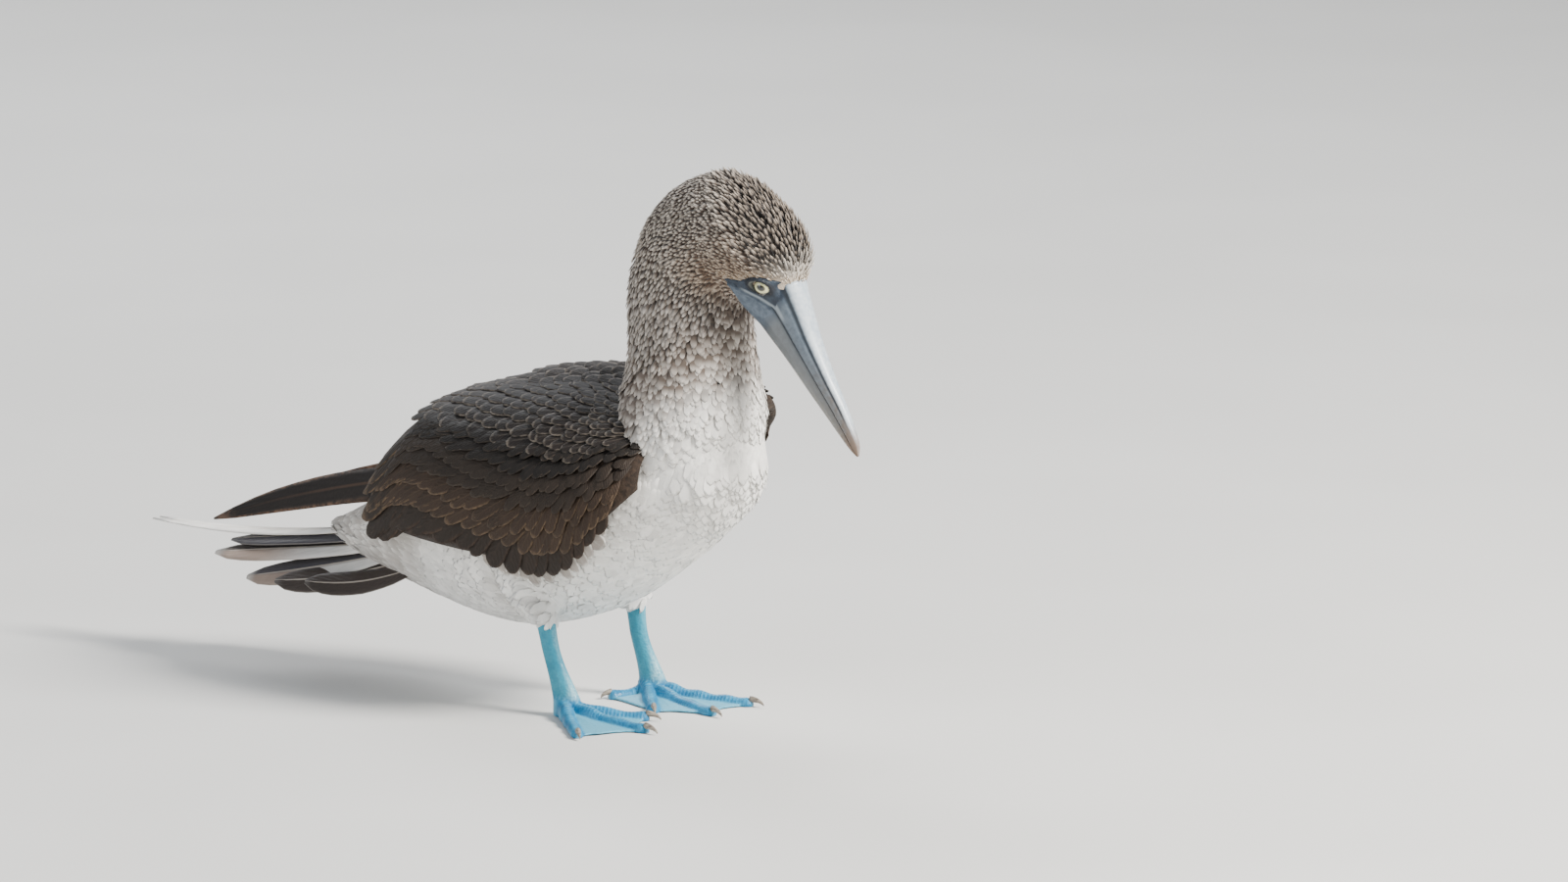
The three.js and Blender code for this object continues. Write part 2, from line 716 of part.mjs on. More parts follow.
function addPiece(name, solid, look) {
  const [color, roughness] = COLOURS[look];
  const material = new THREE.MeshStandardMaterial({ color, roughness, metalness: 0 });
  const mesh = new THREE.Mesh(geometryOf(solid), material);
  mesh.name = name;
  bird.add(mesh);
  return mesh;
}

const form = union([trunk(), neck(), skull(), thigh(THIGH.right), thigh(THIGH.left)]);
const nearForm = union([trunk(GAP), neck(GAP)]);
const aboveThroat = halfSpace(THROAT, HEAD_CUT_PITCH, true);
const belowThroat = halfSpace(THROAT, HEAD_CUT_PITCH, false);
const aboveBase = halfSpace(NECK_BASE, NECK_CUT_PITCH, true);
const belowBase = halfSpace(NECK_BASE, NECK_CUT_PITCH, false);

const lids = [1, -1].map((side) => ball(eyeAt(side), LID.radius));
const sockets = [1, -1].flatMap((side) => [ball(eyeAt(side), EYE.radius + GAP), lidOpening(side), mouthGroove(side)]);
const headWithLids = union([form.intersect(aboveThroat), ...lids]);
addPiece("head", largest(headWithLids.subtract(union(sockets))), "headFeathers");
addPiece("neck", largest(form.intersect(belowThroat).intersect(aboveBase)), "neckFeathers");

const rumpCut = box(point(-400, -200, -50), point(TAIL_CUT_X + GAP / 2, 200, 400));
const torsoCut = box(point(-400, -200, -50), point(TAIL_CUT_X - GAP / 2, 200, 400));
addPiece("torso", largest(form.intersect(belowBase).subtract(rumpCut)), "bodyFeathers");

const tailVanes = [1, -1].flatMap((side) => TAIL.map((_, order) => tailVane(side, order)));
const tailCoverts = [1, -1].flatMap((side) =>
  [0, 1].flatMap((order) => [tailCovert(side, order, true), tailCovert(side, order, false)]),
);
const tailSolid = union([form.intersect(torsoCut), ...tailVanes, ...tailCoverts]).intersect(torsoCut);
addPiece("tail", largest(tailSolid), "tailFeathers");

addPiece("bill_upper", billHalf(true), "bill");
addPiece("bill_lower", billHalf(false), "bill");

const bodyAndTail = union([nearForm, tailSolid]);
for (const [name, side] of [["right", 1], ["left", -1]]) {
  addPiece("eye_" + name, ball(eyeAt(side), EYE.radius), "eye");
  addPiece("wing_" + name, wing(side, bodyAndTail), "wingFeathers");
  addPiece("leg_" + name, leg(name), "skin");
  addPiece("foot_" + name, foot(name), "skin");
  for (const kind of TOES) addPiece("claw_" + name + "_" + kind.name, claw(name, kind), "claw");
}

// The origin is the middle of the bounding box, on the ground.
const bounds = new THREE.Box3().setFromObject(bird);
const middle = bounds.getCenter(point(0, 0, 0));
bird.position.set(-middle.x, -middle.y, 0);

export default bird;
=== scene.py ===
# A blue-footed booby at life size, standing still with its neck upright and its bill bowed.
# Shapes are worked out in millimetres in the bird's frame: +X ahead, +Y to its left, +Z up from the
# ground, with the origin between the ankles. to_row() turns them into the shared frame's metres.
import math

import bmesh
import bpy
import numpy as np
from mathutils import Matrix, Vector


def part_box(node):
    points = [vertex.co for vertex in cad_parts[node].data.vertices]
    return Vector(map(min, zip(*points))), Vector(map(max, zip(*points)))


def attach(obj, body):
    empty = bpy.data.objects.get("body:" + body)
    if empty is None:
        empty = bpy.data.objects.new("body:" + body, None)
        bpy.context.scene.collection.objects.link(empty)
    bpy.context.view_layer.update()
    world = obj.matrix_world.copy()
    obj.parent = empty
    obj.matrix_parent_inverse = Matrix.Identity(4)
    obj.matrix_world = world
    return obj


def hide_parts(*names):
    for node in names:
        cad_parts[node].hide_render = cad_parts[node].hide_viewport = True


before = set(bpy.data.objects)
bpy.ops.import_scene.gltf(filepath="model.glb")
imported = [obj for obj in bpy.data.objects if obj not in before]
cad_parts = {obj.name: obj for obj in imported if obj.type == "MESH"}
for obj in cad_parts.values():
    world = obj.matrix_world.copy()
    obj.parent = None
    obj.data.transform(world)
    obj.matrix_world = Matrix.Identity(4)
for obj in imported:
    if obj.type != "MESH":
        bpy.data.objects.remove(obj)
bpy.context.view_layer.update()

MM = 0.001
SEED = 7

# Places in the bird's frame
RUMP_CUT_X = -164.85  # where the torso's node ends behind
BILL_TIP = np.array([192.0, 0.0, 175.0])
HEAD_PITCH = math.radians(58)
EYE = {"back": 117.5, "up": 3.0, "side": 15.6, "radius": 6.3, "pitch": math.radians(18)}
IRIS = {"long": 4.5, "high": 3.0}
LID = {"long": 5.1, "high": 3.1}
STANCE = 80
ANKLE_HEIGHT = 11

torso_low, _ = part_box("torso")
head_low, head_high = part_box("head")
ORIGIN = np.array([torso_low.x - RUMP_CUT_X * MM, (head_low.y + head_high.y) / 2, 0.0])

# Depth of the coat over the skin
COAT = {"trunk": 2.4, "neck": 1.2, "head": 0.5}

# Along the trunk: x, half width, top, bottom
TRUNK = [
    (-206, 9, 99, 80),
    (-190, 18, 106, 74),
    (-165, 28, 121, 66),
    (-135, 36, 144, 57),
    (-100, 45, 168, 48),
    (-60, 55, 187, 43.5),
    (-20, 61, 196, 50),
    (20, 61, 200, 66),
    (55, 55, 203, 89),
    (80, 45, 200, 109),
    (97, 38, 190, 126),
    (105, 27, 178, 141),
    (109, 14, 167, 154),
]

# Up the neck: z, centre x, half length, half width
NECK = [
    (140, 46, 48, 48),
    (170, 58, 49, 51),
    (190, 65, 46, 49),
    (205, 67, 42.5, 43.5),
    (225, 67, 39.5, 38),
    (245, 65.5, 39, 35.5),
    (265, 64.8, 38.8, 34.5),
    (285, 69.5, 40.3, 34),
    (305, 77.5, 41.3, 31.5),
    (320, 83.5, 36, 27),
    (332, 87, 24, 18),
    (338, 88, 10, 8),
]

# Along the head, behind the bill tip: top and bottom above the bill's axis, half width
HEAD = [
    (100, 16, -20.5, 12),
    (106, 16.8, -22.5, 13.6),
    (111, 18.5, -24, 15.6),
    (114, 22, -25, 17),
    (120, 26.5, -28, 20.5),
    (131, 29, -32, 25.5),
    (146, 27.5, -36, 29.5),
    (162, 21.5, -38, 30.5),
    (178, 13.5, -36, 28),
    (189, 5, -30, 22),
    (196, -3, -24, 12),
]

# The bill, behind its tip: top of the upper half, bottom of the lower half, half width, line of the mouth
BILL = [
    (1, 0.9, -0.6, 0.8, 0),
    (6, 4.3, -2.4, 2.4, 0.3),
    (15, 6, -4.4, 3.9, 1),
    (31, 7.7, -7.4, 5.4, 1.2),
    (50, 8.6, -11, 7.2, 0.7),
    (76, 11.4, -15.6, 9.8, 0.3),
    (95, 15.2, -19.8, 12, 0.4),
    (112, 18.8, -23, 14.2, 0.2),
]

# Where the feathers of the face begin: how high above the bill's axis, how far behind the tip
FACE_EDGE = [
    (-27, 108), (-22, 116), (-19, 120), (-16, 133), (-11, 129.5), (-6.7, 126),
    (-1, 124.6), (3, 123.2), (7, 121), (12, 115.6), (16, 112), (19.6, 109.2),
]

# The line of the mouth behind the bill, below the eye
MOUTH_LINE = [(96, 0.5), (104, -0.5), (112, -4), (122, -10), (134, -18.5)]

# Along a wing: x, half width of the bird over its wings, height of the middle, half height. A place on a
# wing is given as (x, angle), with the angle in degrees from the midline of the back down the side.
WING = [
    (-330, 10, 92, 9),
    (-205, 25, 104, 22),
    (-160, 43, 112, 42),
    (-127, 56, 119, 64),
    (-90, 67.5, 125, 70),
    (-50, 74, 129, 72),
    (-10, 76.5, 132, 74),
    (25, 75, 137, 68),
    (50, 70, 145, 58),
    (64, 61, 151, 47),
    (73, 51, 155, 36),
]
# The left wing is held a little higher and further out, most of all at the wrist
LEFT_WING = {"raise": 9, "forward": 12, "out": 11, "wrist_up": 29, "wrist_thin": 0.34}
MIDLINE_DROP = 7

# The wing's own body under its feathers: x, first angle, last angle, depth
WING_CORE = [
    (-150, 46, 88, 5),
    (-136, 34, 98, 7),
    (-118, 24, 104, 9),
    (-85, 17, 110, 12),
    (-40, 15, 115, 17),
    (0, 16, 116, 20),
    (30, 21, 110, 20),
    (50, 32, 104, 18),
    (62, 44, 98, 15),
    (70, 58, 92, 9),
]

THIGH = {
    "right": {"top": (-36, -36, 92), "end": (-17.5, -38.5, 54)},
    "left": {"top": (-24, 36, 92), "end": (-7.5, 38.5, 54)},
}

# Each leg's ankle, how far it leans ahead above it, and the headings of its toes in degrees
LEG = {
    "right": {
        "ankle": (-3, -STANCE / 2),
        "ahead": 2.8,
        "toes": {"hind": 112, "inner": 20, "middle": -10, "outer": -45},
    },
    "left": {
        "ankle": (0, STANCE / 2),
        "ahead": 4.6,
        "toes": {"hind": -122, "inner": -48, "middle": -20, "outer": 10},
    },
}
# Each toe's length, its claw's reach, its number of joints and its height where it begins
TOES = {
    "hind": {"length": 25, "claw": 5.5, "joints": 1, "rise": 10.0},
    "inner": {"length": 55, "claw": 8, "joints": 2, "rise": 14.0},
    "middle": {"length": 76, "claw": 9.5, "joints": 3, "rise": 14.0},
    "outer": {"length": 73, "claw": 8, "joints": 4, "rise": 14.0},
}

SIDES = {"right": 1, "left": -1}


# Numbers and places


def read_table(table, at):
    """The table's columns at any position, with smooth curves between its rows."""
    rows = np.asarray(table, float)
    last = len(rows) - 1
    x = np.clip(np.asarray(at, float), rows[0, 0], rows[last, 0])
    i = np.clip(np.searchsorted(rows[:, 0], x, side="left") - 1, 0, last - 1)
    before, low, high, after = rows[np.maximum(i - 1, 0)], rows[i], rows[i + 1], rows[np.minimum(i + 2, last)]
    span = (high - low)[..., :1]
    t = (x - low[..., 0])[..., None] / span
    slope_low = (high - before) / (high - before)[..., :1] * span
    slope_high = (after - low) / (after - low)[..., :1] * span
    rise = high - low
    square = 3 * rise - 2 * slope_low - slope_high
    cube = slope_low + slope_high - 2 * rise
    return (low + t * (slope_low + t * (square + t * cube)))[..., 1:]


def smooth(low, high, x):
    """0 up to low and 1 from high, with a smooth step between them."""
    t = np.clip((np.asarray(x, float) - low) / (high - low), 0, 1)
    return t * t * (3 - 2 * t)


def unit(v):
    """Vectors at length 1."""
    v = np.asarray(v, float)
    return v / np.maximum(np.linalg.norm(v, axis=-1, keepdims=True), 1e-9)


def blend(a, b, t):
    """From a at 0 to b at 1."""
    return np.asarray(a) + (np.asarray(b) - np.asarray(a)) * t


def colour(code):
    """A six-digit colour as linear red, green and blue."""
    channels = np.array([int(code[i : i + 2], 16) / 255 for i in (0, 2, 4)])
    return np.where(channels <= 0.04045, channels / 12.92, ((channels + 0.055) / 1.055) ** 2.4)


def to_row(points):
    """From the bird's millimetres to the frame's metres."""
    return np.asarray(points, float) * MM + ORIGIN


def to_bird(points):
    return (np.asarray(points, float) - ORIGIN) / MM


FORWARD = np.array([math.cos(HEAD_PITCH), 0, -math.sin(HEAD_PITCH)])
UPWARD = np.array([math.sin(HEAD_PITCH), 0, math.cos(HEAD_PITCH)])
LEFTWARD = np.array([0.0, 1.0, 0.0])
AHEAD = np.array([1, 0, 0])
UP = np.array([0, 0, 1])


def in_head(back, up, side=0.0):
    """Points behind the bill tip, above the bill's axis and to the left."""
    back, up, side = (np.asarray(v, float)[..., None] for v in (back, up, side))
    return BILL_TIP - back * FORWARD + up * UPWARD + side * LEFTWARD


def head_place(points):
    """How far points are behind the bill tip and above the bill's axis."""
    offset = points - BILL_TIP
    return -offset @ FORWARD, offset @ UPWARD


def bare_face(points):
    """Positive on bare skin ahead of the face's feathers, in millimetres."""
    back, up = head_place(points)
    edges = np.array(FACE_EDGE)
    below = np.maximum(0, -28 - up)
    return np.interp(up, edges[:, 0], edges[:, 1]) - back - 6 * below


def wing_surface(side, x, angle):
    """Points on the folded wing's outside."""
    half_width, middle, half_height = np.moveaxis(read_table(WING, x), -1, 0)
    a = np.radians(angle)
    left = 1.0 if side < 0 else 0.0
    at_wrist = left * smooth(-10, 64, x)
    middle = middle + LEFT_WING["wrist_up"] * at_wrist
    half_height = half_height * (1 - LEFT_WING["wrist_thin"] * at_wrist)
    top = np.minimum(1, half_height / 60) * smooth(95, 60, angle)
    raised = LEFT_WING["raise"] * smooth(-100, -50, x) + MIDLINE_DROP
    held = left * raised * smooth(-2, 28, angle) * (1 - 0.8 * at_wrist)
    lifted = top * (held - MIDLINE_DROP)
    return np.stack(
        [
            x + LEFT_WING["forward"] * at_wrist,
            -side * (half_width + LEFT_WING["out"] * at_wrist) * np.sin(a),
            middle + (half_height + lifted) * np.cos(a),
        ],
        -1,
    )


def wing_tangents(side, x, angle):
    """How a point on the wing moves with x and with the angle."""
    step = 0.5
    along = (wing_surface(side, x + step, angle) - wing_surface(side, x - step, angle)) / (2 * step)
    around = (wing_surface(side, x, angle + step) - wing_surface(side, x, angle - step)) / (2 * step)
    return along, around


def wing_normal(side, x, angle):
    along, around = wing_tangents(side, x, angle)
    return unit(np.cross(along, around)) * -side


# Meshes


def mesh_object(name, points_mm, faces, smooth_shaded=True):
    """A new object whose place is in its mesh, from points in the bird's frame."""
    mesh = bpy.data.meshes.new(name)
    mesh.from_pydata(to_row(points_mm).tolist(), [], [list(map(int, face)) for face in faces])
    mesh.update()
    made = bpy.data.objects.new(name, mesh)
    bpy.context.scene.collection.objects.link(made)
    if smooth_shaded:
        mesh.shade_smooth()
    return made


def ring(centre, across, up, half_width, reach_up, reach_down, sides):
    """Points of an oval whose upper and lower halves may differ."""
    angles = np.linspace(0, 2 * math.pi, sides, endpoint=False)
    c, s = np.cos(angles)[:, None], np.sin(angles)[:, None]
    reach = np.where(s > 0, reach_up, reach_down)
    return np.asarray(centre) + np.asarray(across) * half_width * c + np.asarray(up) * reach * s


def loft(rings):
    """Points and faces of a closed form through rings of points."""
    sides = len(rings[0])
    faces = []
    for r in range(len(rings) - 1):
        for i in range(sides):
            a, b = r * sides + i, r * sides + (i + 1) % sides
            faces.append((a, b, b + sides, a + sides))
    faces.append(tuple(range(sides - 1, -1, -1)))
    faces.append(tuple(range((len(rings) - 1) * sides, len(rings) * sides)))
    return np.concatenate(rings), faces


def joined(forms):
    """Points and faces of several forms as one."""
    points, faces, count = [], [], 0
    for some_points, some_faces in forms:
        points.append(some_points)
        faces += [tuple(i + count for i in face) for face in some_faces]
        count += len(some_points)
    return np.concatenate(points), faces


def outward(made):
    """Turns the faces of a closed mesh outwards."""
    work = bmesh.new()
    work.from_mesh(made.data)
    bmesh.ops.recalc_face_normals(work, faces=work.faces)
    work.to_mesh(made.data)
    work.free()


def applied(made):
    """Turns the object's modifiers into its mesh."""
    graph = bpy.context.evaluated_depsgraph_get()
    mesh = bpy.data.meshes.new_from_object(made.evaluated_get(graph))
    made.modifiers.clear()
    made.data = mesh
    return made


def fused(name, forms, voxel_mm):
    """Forms that overlap, as one closed skin."""
    made = mesh_object(name, *joined(forms))
    fuse = made.modifiers.new("Fuse", "REMESH")
    fuse.mode = "VOXEL"
    fuse.voxel_size = voxel_mm * MM
    fuse.use_smooth_shade = True
    return applied(made)


def softened(made, times, where=None):
    """Evens out a skin, everywhere or only where the weights say."""
    soften = made.modifiers.new("Soften", "SMOOTH")
    soften.factor = 0.5
    soften.iterations = times
    if where is not None:
        group = made.vertex_groups.new(name="soft")
        levels = 10
        for level in range(1, levels + 1):
            chosen = np.nonzero(np.round(where * levels) == level)[0]
            group.add(chosen.tolist(), level / levels, "REPLACE")
        soften.vertex_group = "soft"
    applied(made)
    made.vertex_groups.clear()
    return made


def vertices_of(made):
    co = np.empty(len(made.data.vertices) * 3)
    made.data.vertices.foreach_get("co", co)
    return to_bird(co.reshape(-1, 3))


def normals_of(made):
    normals = np.empty(len(made.data.vertices) * 3)
    made.data.vertices.foreach_get("normal", normals)
    return normals.reshape(-1, 3)


def put_vertices(made, points_mm):
    made.data.vertices.foreach_set("co", to_row(points_mm).ravel())
    made.data.update()


def store(made, name, kind, values, domain="POINT"):
    """Keeps values on a mesh, one for each point or corner."""
    attribute = made.data.attributes.new(name, kind, domain)
    field = {"FLOAT": "value", "FLOAT_VECTOR": "vector", "FLOAT2": "vector", "FLOAT_COLOR": "color"}[kind]
    values = np.asarray(values, float)
    if kind == "FLOAT_COLOR":
        values = np.concatenate([values, np.ones((len(values), 1))], 1)
    attribute.data.foreach_set(field, values.ravel())


def piece(made, slot, *nodes):
    """Fits a finished piece to the frame, with the nodes whose place it takes."""
    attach(made, "root")
    if nodes:
        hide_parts(*nodes)


def closed_piece(name, form, finish, slot, *nodes, values=None):
    """A piece from the points and faces of one closed form, with values kept on its points."""
    made = mesh_object(name, *form)
    outward(made)
    for key, value in (values or {}).items():
        store(made, key, "FLOAT", value)
    made.data.materials.append(finish)
    piece(made, slot, *nodes)


# Node trees


class Graph:
    """Adds nodes to a tree. Settings are set first, then each socket gets a value or a link."""

    def __init__(self, tree):
        self.tree = tree

    def node(self, kind, settings=None, sockets=None):
        made = self.tree.nodes.new(kind)
        for name, value in (settings or {}).items():
            setattr(made, name, value)
        for name, value in (sockets or {}).items():
            self.feed(self.pick(made.inputs, name), value)
        return made

    def pick(self, sockets, name):
        if isinstance(name, int):
            return sockets[name]
        return next(s for s in sockets if s.name == name and s.enabled)

    def feed(self, socket, value):
        if isinstance(value, Number):
            value = value.socket
        if isinstance(value, bpy.types.NodeSocket):
            self.tree.links.new(value, socket)
        elif hasattr(socket, "default_value"):
            socket.default_value = value

    def out(self, made, name):
        return self.pick(made.outputs, name)


class Number:
    """A number in a node tree: arithmetic on it adds Math nodes."""

    def __init__(self, graph, socket):
        self.graph, self.socket = graph, socket

    def maths(self, operation, *values):
        made = self.graph.node("ShaderNodeMath", {"operation": operation}, dict(enumerate(values)))
        return Number(self.graph, made.outputs[0])

    def __add__(self, other):
        return self.maths("ADD", self, other)

    __radd__ = __add__

    def __sub__(self, other):
        return self.maths("SUBTRACT", self, other)

    def __rsub__(self, other):
        return self.maths("SUBTRACT", other, self)

    def __mul__(self, other):
        return self.maths("MULTIPLY", self, other)

    __rmul__ = __mul__

    def __rtruediv__(self, other):
        return self.maths("DIVIDE", other, self)

    def step(self, low, high):
        """A smooth step from 0 at low to 1 at high."""
        made = self.graph.node(
            "ShaderNodeMapRange",
            {"interpolation_type": "SMOOTHSTEP"},
            {"Value": self, "From Min": low, "From Max": high, "To Min": 0.0, "To Max": 1.0},
        )
        return Number(self.graph, made.outputs[0])

    def bigger(self, other):
        return self.maths("MAXIMUM", self, other)

    def absolute(self):
        return self.maths("ABSOLUTE", self)

    def sine(self):
        return self.maths("SINE", self)


class Finish(Graph):
    """A material's node tree, with the few nodes that the finishes share."""

    def __init__(self, name):
        self.material = bpy.data.materials.new(name)
        self.material.use_nodes = True
        super().__init__(self.material.node_tree)
        self.tree.nodes.clear()
        self.place = self.node("ShaderNodeTexCoord").outputs["Object"]

    def attribute(self, name):
        return self.node("ShaderNodeAttribute", {"attribute_name": name})

    def value(self, name):
        return Number(self, self.attribute(name).outputs["Fac"])

    def tone(self, name):
        return self.attribute(name).outputs["Color"]

    def mix(self, factor, a, b):
        made = self.node(
            "ShaderNodeMix",
            {"data_type": "RGBA"},
            {"Factor": factor, "A": self.rgba(a), "B": self.rgba(b)},
        )
        return self.pick(made.outputs, "Result")

    def rgba(self, value):
        return value if isinstance(value, bpy.types.NodeSocket) else (*value, 1)

    def lighter(self, base, value):
        """A colour whose brightness is multiplied by a value that changes over the surface."""
        return self.node("ShaderNodeHueSaturation", None, {"Value": value, "Color": base}).outputs[0]

    def noise(self, size_mm, detail, stretch=None):
        vector = self.place
        if stretch is not None:
            vector = self.node("ShaderNodeMapping", None, {"Vector": self.place, "Scale": stretch}).outputs[0]
        made = self.node(
            "ShaderNodeTexNoise",
            None,
            {"Vector": vector, "Scale": 1 / (size_mm * MM), "Detail": detail, "Roughness": 0.55},
        )
        return Number(self, made.outputs[0])

    def cells(self, size_mm, randomness=1.0):
        made = self.node(
            "ShaderNodeTexVoronoi",
            None,
            {"Vector": self.place, "Scale": 1 / (size_mm * MM), "Randomness": randomness},
        )
        return Number(self, made.outputs["Distance"])

    def bump(self, height, depth_mm):
        return self.node("ShaderNodeBump", None, {"Height": height, "Distance": depth_mm * MM}).outputs[0]

    def finished(self, base, roughness, normal=None, **constants):
        """The material, its shader fed; constants are named by their sockets."""
        sockets = {"Base Color": self.rgba(base), "Roughness": roughness}
        if normal is not None:
            sockets["Normal"] = normal
        sockets.update({name.replace("_", " "): value for name, value in constants.items()})
        shader = self.node("ShaderNodeBsdfPrincipled", None, sockets)
        self.node("ShaderNodeOutputMaterial", None, {"Surface": shader.outputs[0]})
        return self.material


# Colours

SHADE_CODES = {
    "white": "f3f0ea",
    "cool_white": "dcdcdc",
    "pale_tip": "d8cbbb",
    "head_base": "483a31",
    "crown_base": "1f1612",
    "crown_tip": "988878",
    "cheek_tip": "bba184",
    "cheek_base": "7a6250",
    "nape_tip": "b7ada3",
    "nape_base": "675b52",
    "forehead": "e4dccf",
    "mantle": "1c1512",
    "mantle_edge": "83786c",
    "flank": "dad5ce",
    "flank_dark": "a59c94",
    # covert and middle_covert, for the upper rows of coverts: their own dark brown, darkened further with
    # painted shade under the scapulars
    "covert": "18120e",
    "covert_edge": "3f352c",
    "middle_covert": "2b2119",
    "lower_covert": "34261b",
    "lower_edge": "66533f",
    "secondary": "251b13",
    "secondary_edge": "43342a",
    "primary": "1c1613",
    "primary_edge": "6e5240",
    "tail_outer": "3a302a",
    "tail_slate": "47454a",
    "tail_pale": "a28f82",
    "tail_middle": "efece6",
}
SHADES = {name: colour(code) for name, code in SHADE_CODES.items()}


# The lie of the coat and its colours, as places on the bird


# In the side view: x, z, and the way the feathers point there (ahead, up)
LIE = [
    (150, 268, -0.45, 0.9),
    (146, 292, -0.6, 0.8),
    (125, 318, -0.85, 0.5),
    (130, 288, -0.75, 0.55),
    (100, 338, -1.0, 0.0),
    (70, 330, -0.8, -0.6),
    (45, 312, -0.35, -0.95),
    (105, 285, -0.9, 0.1),
    (85, 300, -0.9, -0.35),
    (60, 275, -0.35, -0.95),
    (100, 262, -0.6, -0.8),
    (32, 260, 0.0, -1.0),
    (70, 240, -0.15, -1.0),
    (100, 240, 0.0, -1.0),
    (30, 215, -0.45, -0.9),
    (70, 205, 0.0, -1.0),
    (108, 190, 0.0, -1.0),
    (95, 135, -0.5, -0.85),
    (60, 95, -0.85, -0.5),
    (0, 60, -1.0, -0.1),
    (-60, 50, -1.0, 0.1),
    (-150, 65, -1.0, 0.2),
    (-200, 85, -1.0, 0.1),
    (0, 200, -1.0, -0.05),
    (-80, 180, -1.0, -0.25),
    (-150, 135, -0.95, -0.45),
    (40, 160, -0.5, -0.85),
]


def lie_at(points, normals):
    """The way the feathers point along the skin at each point."""
    keys = np.array(LIE, float)
    gap = (points[:, None, 0] - keys[None, :, 0]) ** 2 + (points[:, None, 2] - keys[None, :, 1]) ** 2 + 25
    weight = 1 / gap**2
    pointing = unit(np.stack([weight @ keys[:, 2], np.zeros(len(points)), weight @ keys[:, 3]], -1))
    flat = pointing - normals * np.sum(pointing * normals, -1, keepdims=True)
    return unit(flat)


def markings(points):
    """Root and tip colours of the small feathers at each point of the skin."""
    x, y, z = points.T
    back, up = head_place(points)
    belly = smooth(95, 55, z) * smooth(80, 20, x)
    flank = smooth(-92, -140, x) * smooth(45, 75, z)
    mantle = smooth(183, 196, z) * smooth(44, 22, x) + smooth(-20, -60, x) * smooth(118, 140, z)
    mantle = np.clip(mantle, 0, 1) * smooth(-165, -145, x)
    mottle = np.sin(0.9 * x + 0.5 * z) * np.sin(0.8 * y - 0.6 * z + 0.4 * x) + 0.6 * np.sin(1.7 * y + 1.3 * z)
    height = z + 1.9 * np.maximum(66 - x, 0) - 0.5 * np.maximum(x - 66, 0) + 9 * mottle
    neck = smooth(170, 226, height) * smooth(146, 174, z)
    head = smooth(262, 292, z + 0.2 * (x - 70))
    cheek = smooth(258, 284, z) * smooth(172, 128, back) * smooth(20, -8, up) * smooth(-44, -30, up)
    crown = smooth(110, 124, back) * smooth(2, 18, up) * smooth(218, 184, back) * smooth(0, 8, 38 - np.abs(y))
    forehead = smooth(128, 111, back) * smooth(2, 16, up)
    # A soft grey-brown patch low on the right flank, behind the leg
    grey_patch = np.exp(-(((x + 42) / 9) ** 2) - ((z - 70) / 17) ** 2) * (y < 0)
    rim = smooth(7, 1, -bare_face(points)) * head
    # From the lowest layer up: the roots' shade and how much of it, then the tips'
    layers = [
        ("cool_white", belly * 0.5, "cool_white", belly * 0.35),
        ("flank_dark", flank * 0.8, "flank", flank * 0.7),
        ("mantle", mantle, "mantle_edge", mantle * 0.9),
        ("nape_base", np.clip(neck * 1.4, 0, 1), "nape_tip", neck * 0.92),
        ("head_base", head, "pale_tip", head * 0.7),
        ("cheek_base", cheek * 0.75, "cheek_tip", cheek * 0.8),
        ("crown_base", crown, "crown_tip", crown * 0.85),
        ("forehead", forehead * 0.5, "forehead", forehead * 0.85),
        ("flank_dark", grey_patch * 0.5, "flank_dark", grey_patch * 0.3),
        ("cheek_tip", rim * 0.6, "pale_tip", rim * 0.5),
    ]
    root = np.tile(SHADES["white"], (len(points), 1))
    tip = root.copy()
    for root_shade, root_amount, tip_shade, tip_amount in layers:
        root = blend(root, SHADES[root_shade], root_amount[:, None])
        tip = blend(tip, SHADES[tip_shade], tip_amount[:, None])
    return root, tip


def under_wing(points):
    """1 where a folded wing covers the trunk."""
    x, y, z = points.T
    half_width, middle, half_height = read_table(WING, x).T
    _, last, _ = read_table(WING_CORE, x).T
    angle = np.degrees(np.arctan2(np.abs(y) / half_width, (z - middle) / half_height))
    reach = np.hypot(y / half_width, (z - middle) / half_height)
    below = smooth(last - 3, last - 10, angle)
    inside = smooth(1.12, 1.06, reach)
    behind = smooth(60, 46, x + 0.25 * np.maximum(0, 40 - angle))
    return below * inside * smooth(-110, -100, x) * behind


# The middle line of the body in the side view, from the tail to the bill: x, z
SPINE = [(-206, 90), (-60, 115), (20, 130), (60, 175), (65, 235), (78, 290), (112, 295), (150, 268)]


def unwrap(points):
    """An unwrap of the skin's own shape: round the bird, and along it from the tail to the bill."""
    x, y, z = points.T
    spine = np.array(SPINE, float)
    lengths = np.concatenate([[0], np.cumsum(np.linalg.norm(np.diff(spine, axis=0), axis=1))])
    best = np.full(len(points), 1e18)
    along, height = np.zeros(len(points)), np.zeros(len(points))
    for i in range(len(spine) - 1):
        step = spine[i + 1] - spine[i]
        size = np.linalg.norm(step)
        offset = points[:, [0, 2]] - spine[i]
        t = np.clip(offset @ step / size**2, 0, 1)
        gap = offset - t[:, None] * step
        distance = np.sum(gap**2, -1)
        closer = distance < best
        best = np.where(closer, distance, best)
        along = np.where(closer, lengths[i] + t * size, along)
        height = np.where(closer, gap @ np.array([-step[1], step[0]]) / size, height)
    around = np.arctan2(y, height) / (2 * math.pi) + 0.5
    margin, span = 0.02, 0.96
    return np.stack([margin + span * around, margin + span * along / lengths[-1]], -1)


# The skin


def trunk_form(grow):
    rings = []
    for x in [*np.linspace(-206, -60, 14), *np.linspace(-50, 80, 14), 86, 92, 98, 103, 106.5, 109]:
        half_width, top, bottom = read_table(TRUNK, x)
        middle = bottom + 0.48 * (top - bottom)
        reach_up, reach_down = top - middle + grow, middle - bottom + grow
        rings.append(ring((x, 0, middle), LEFTWARD, UP, half_width + grow, reach_up, reach_down, 48))
    return loft(rings)


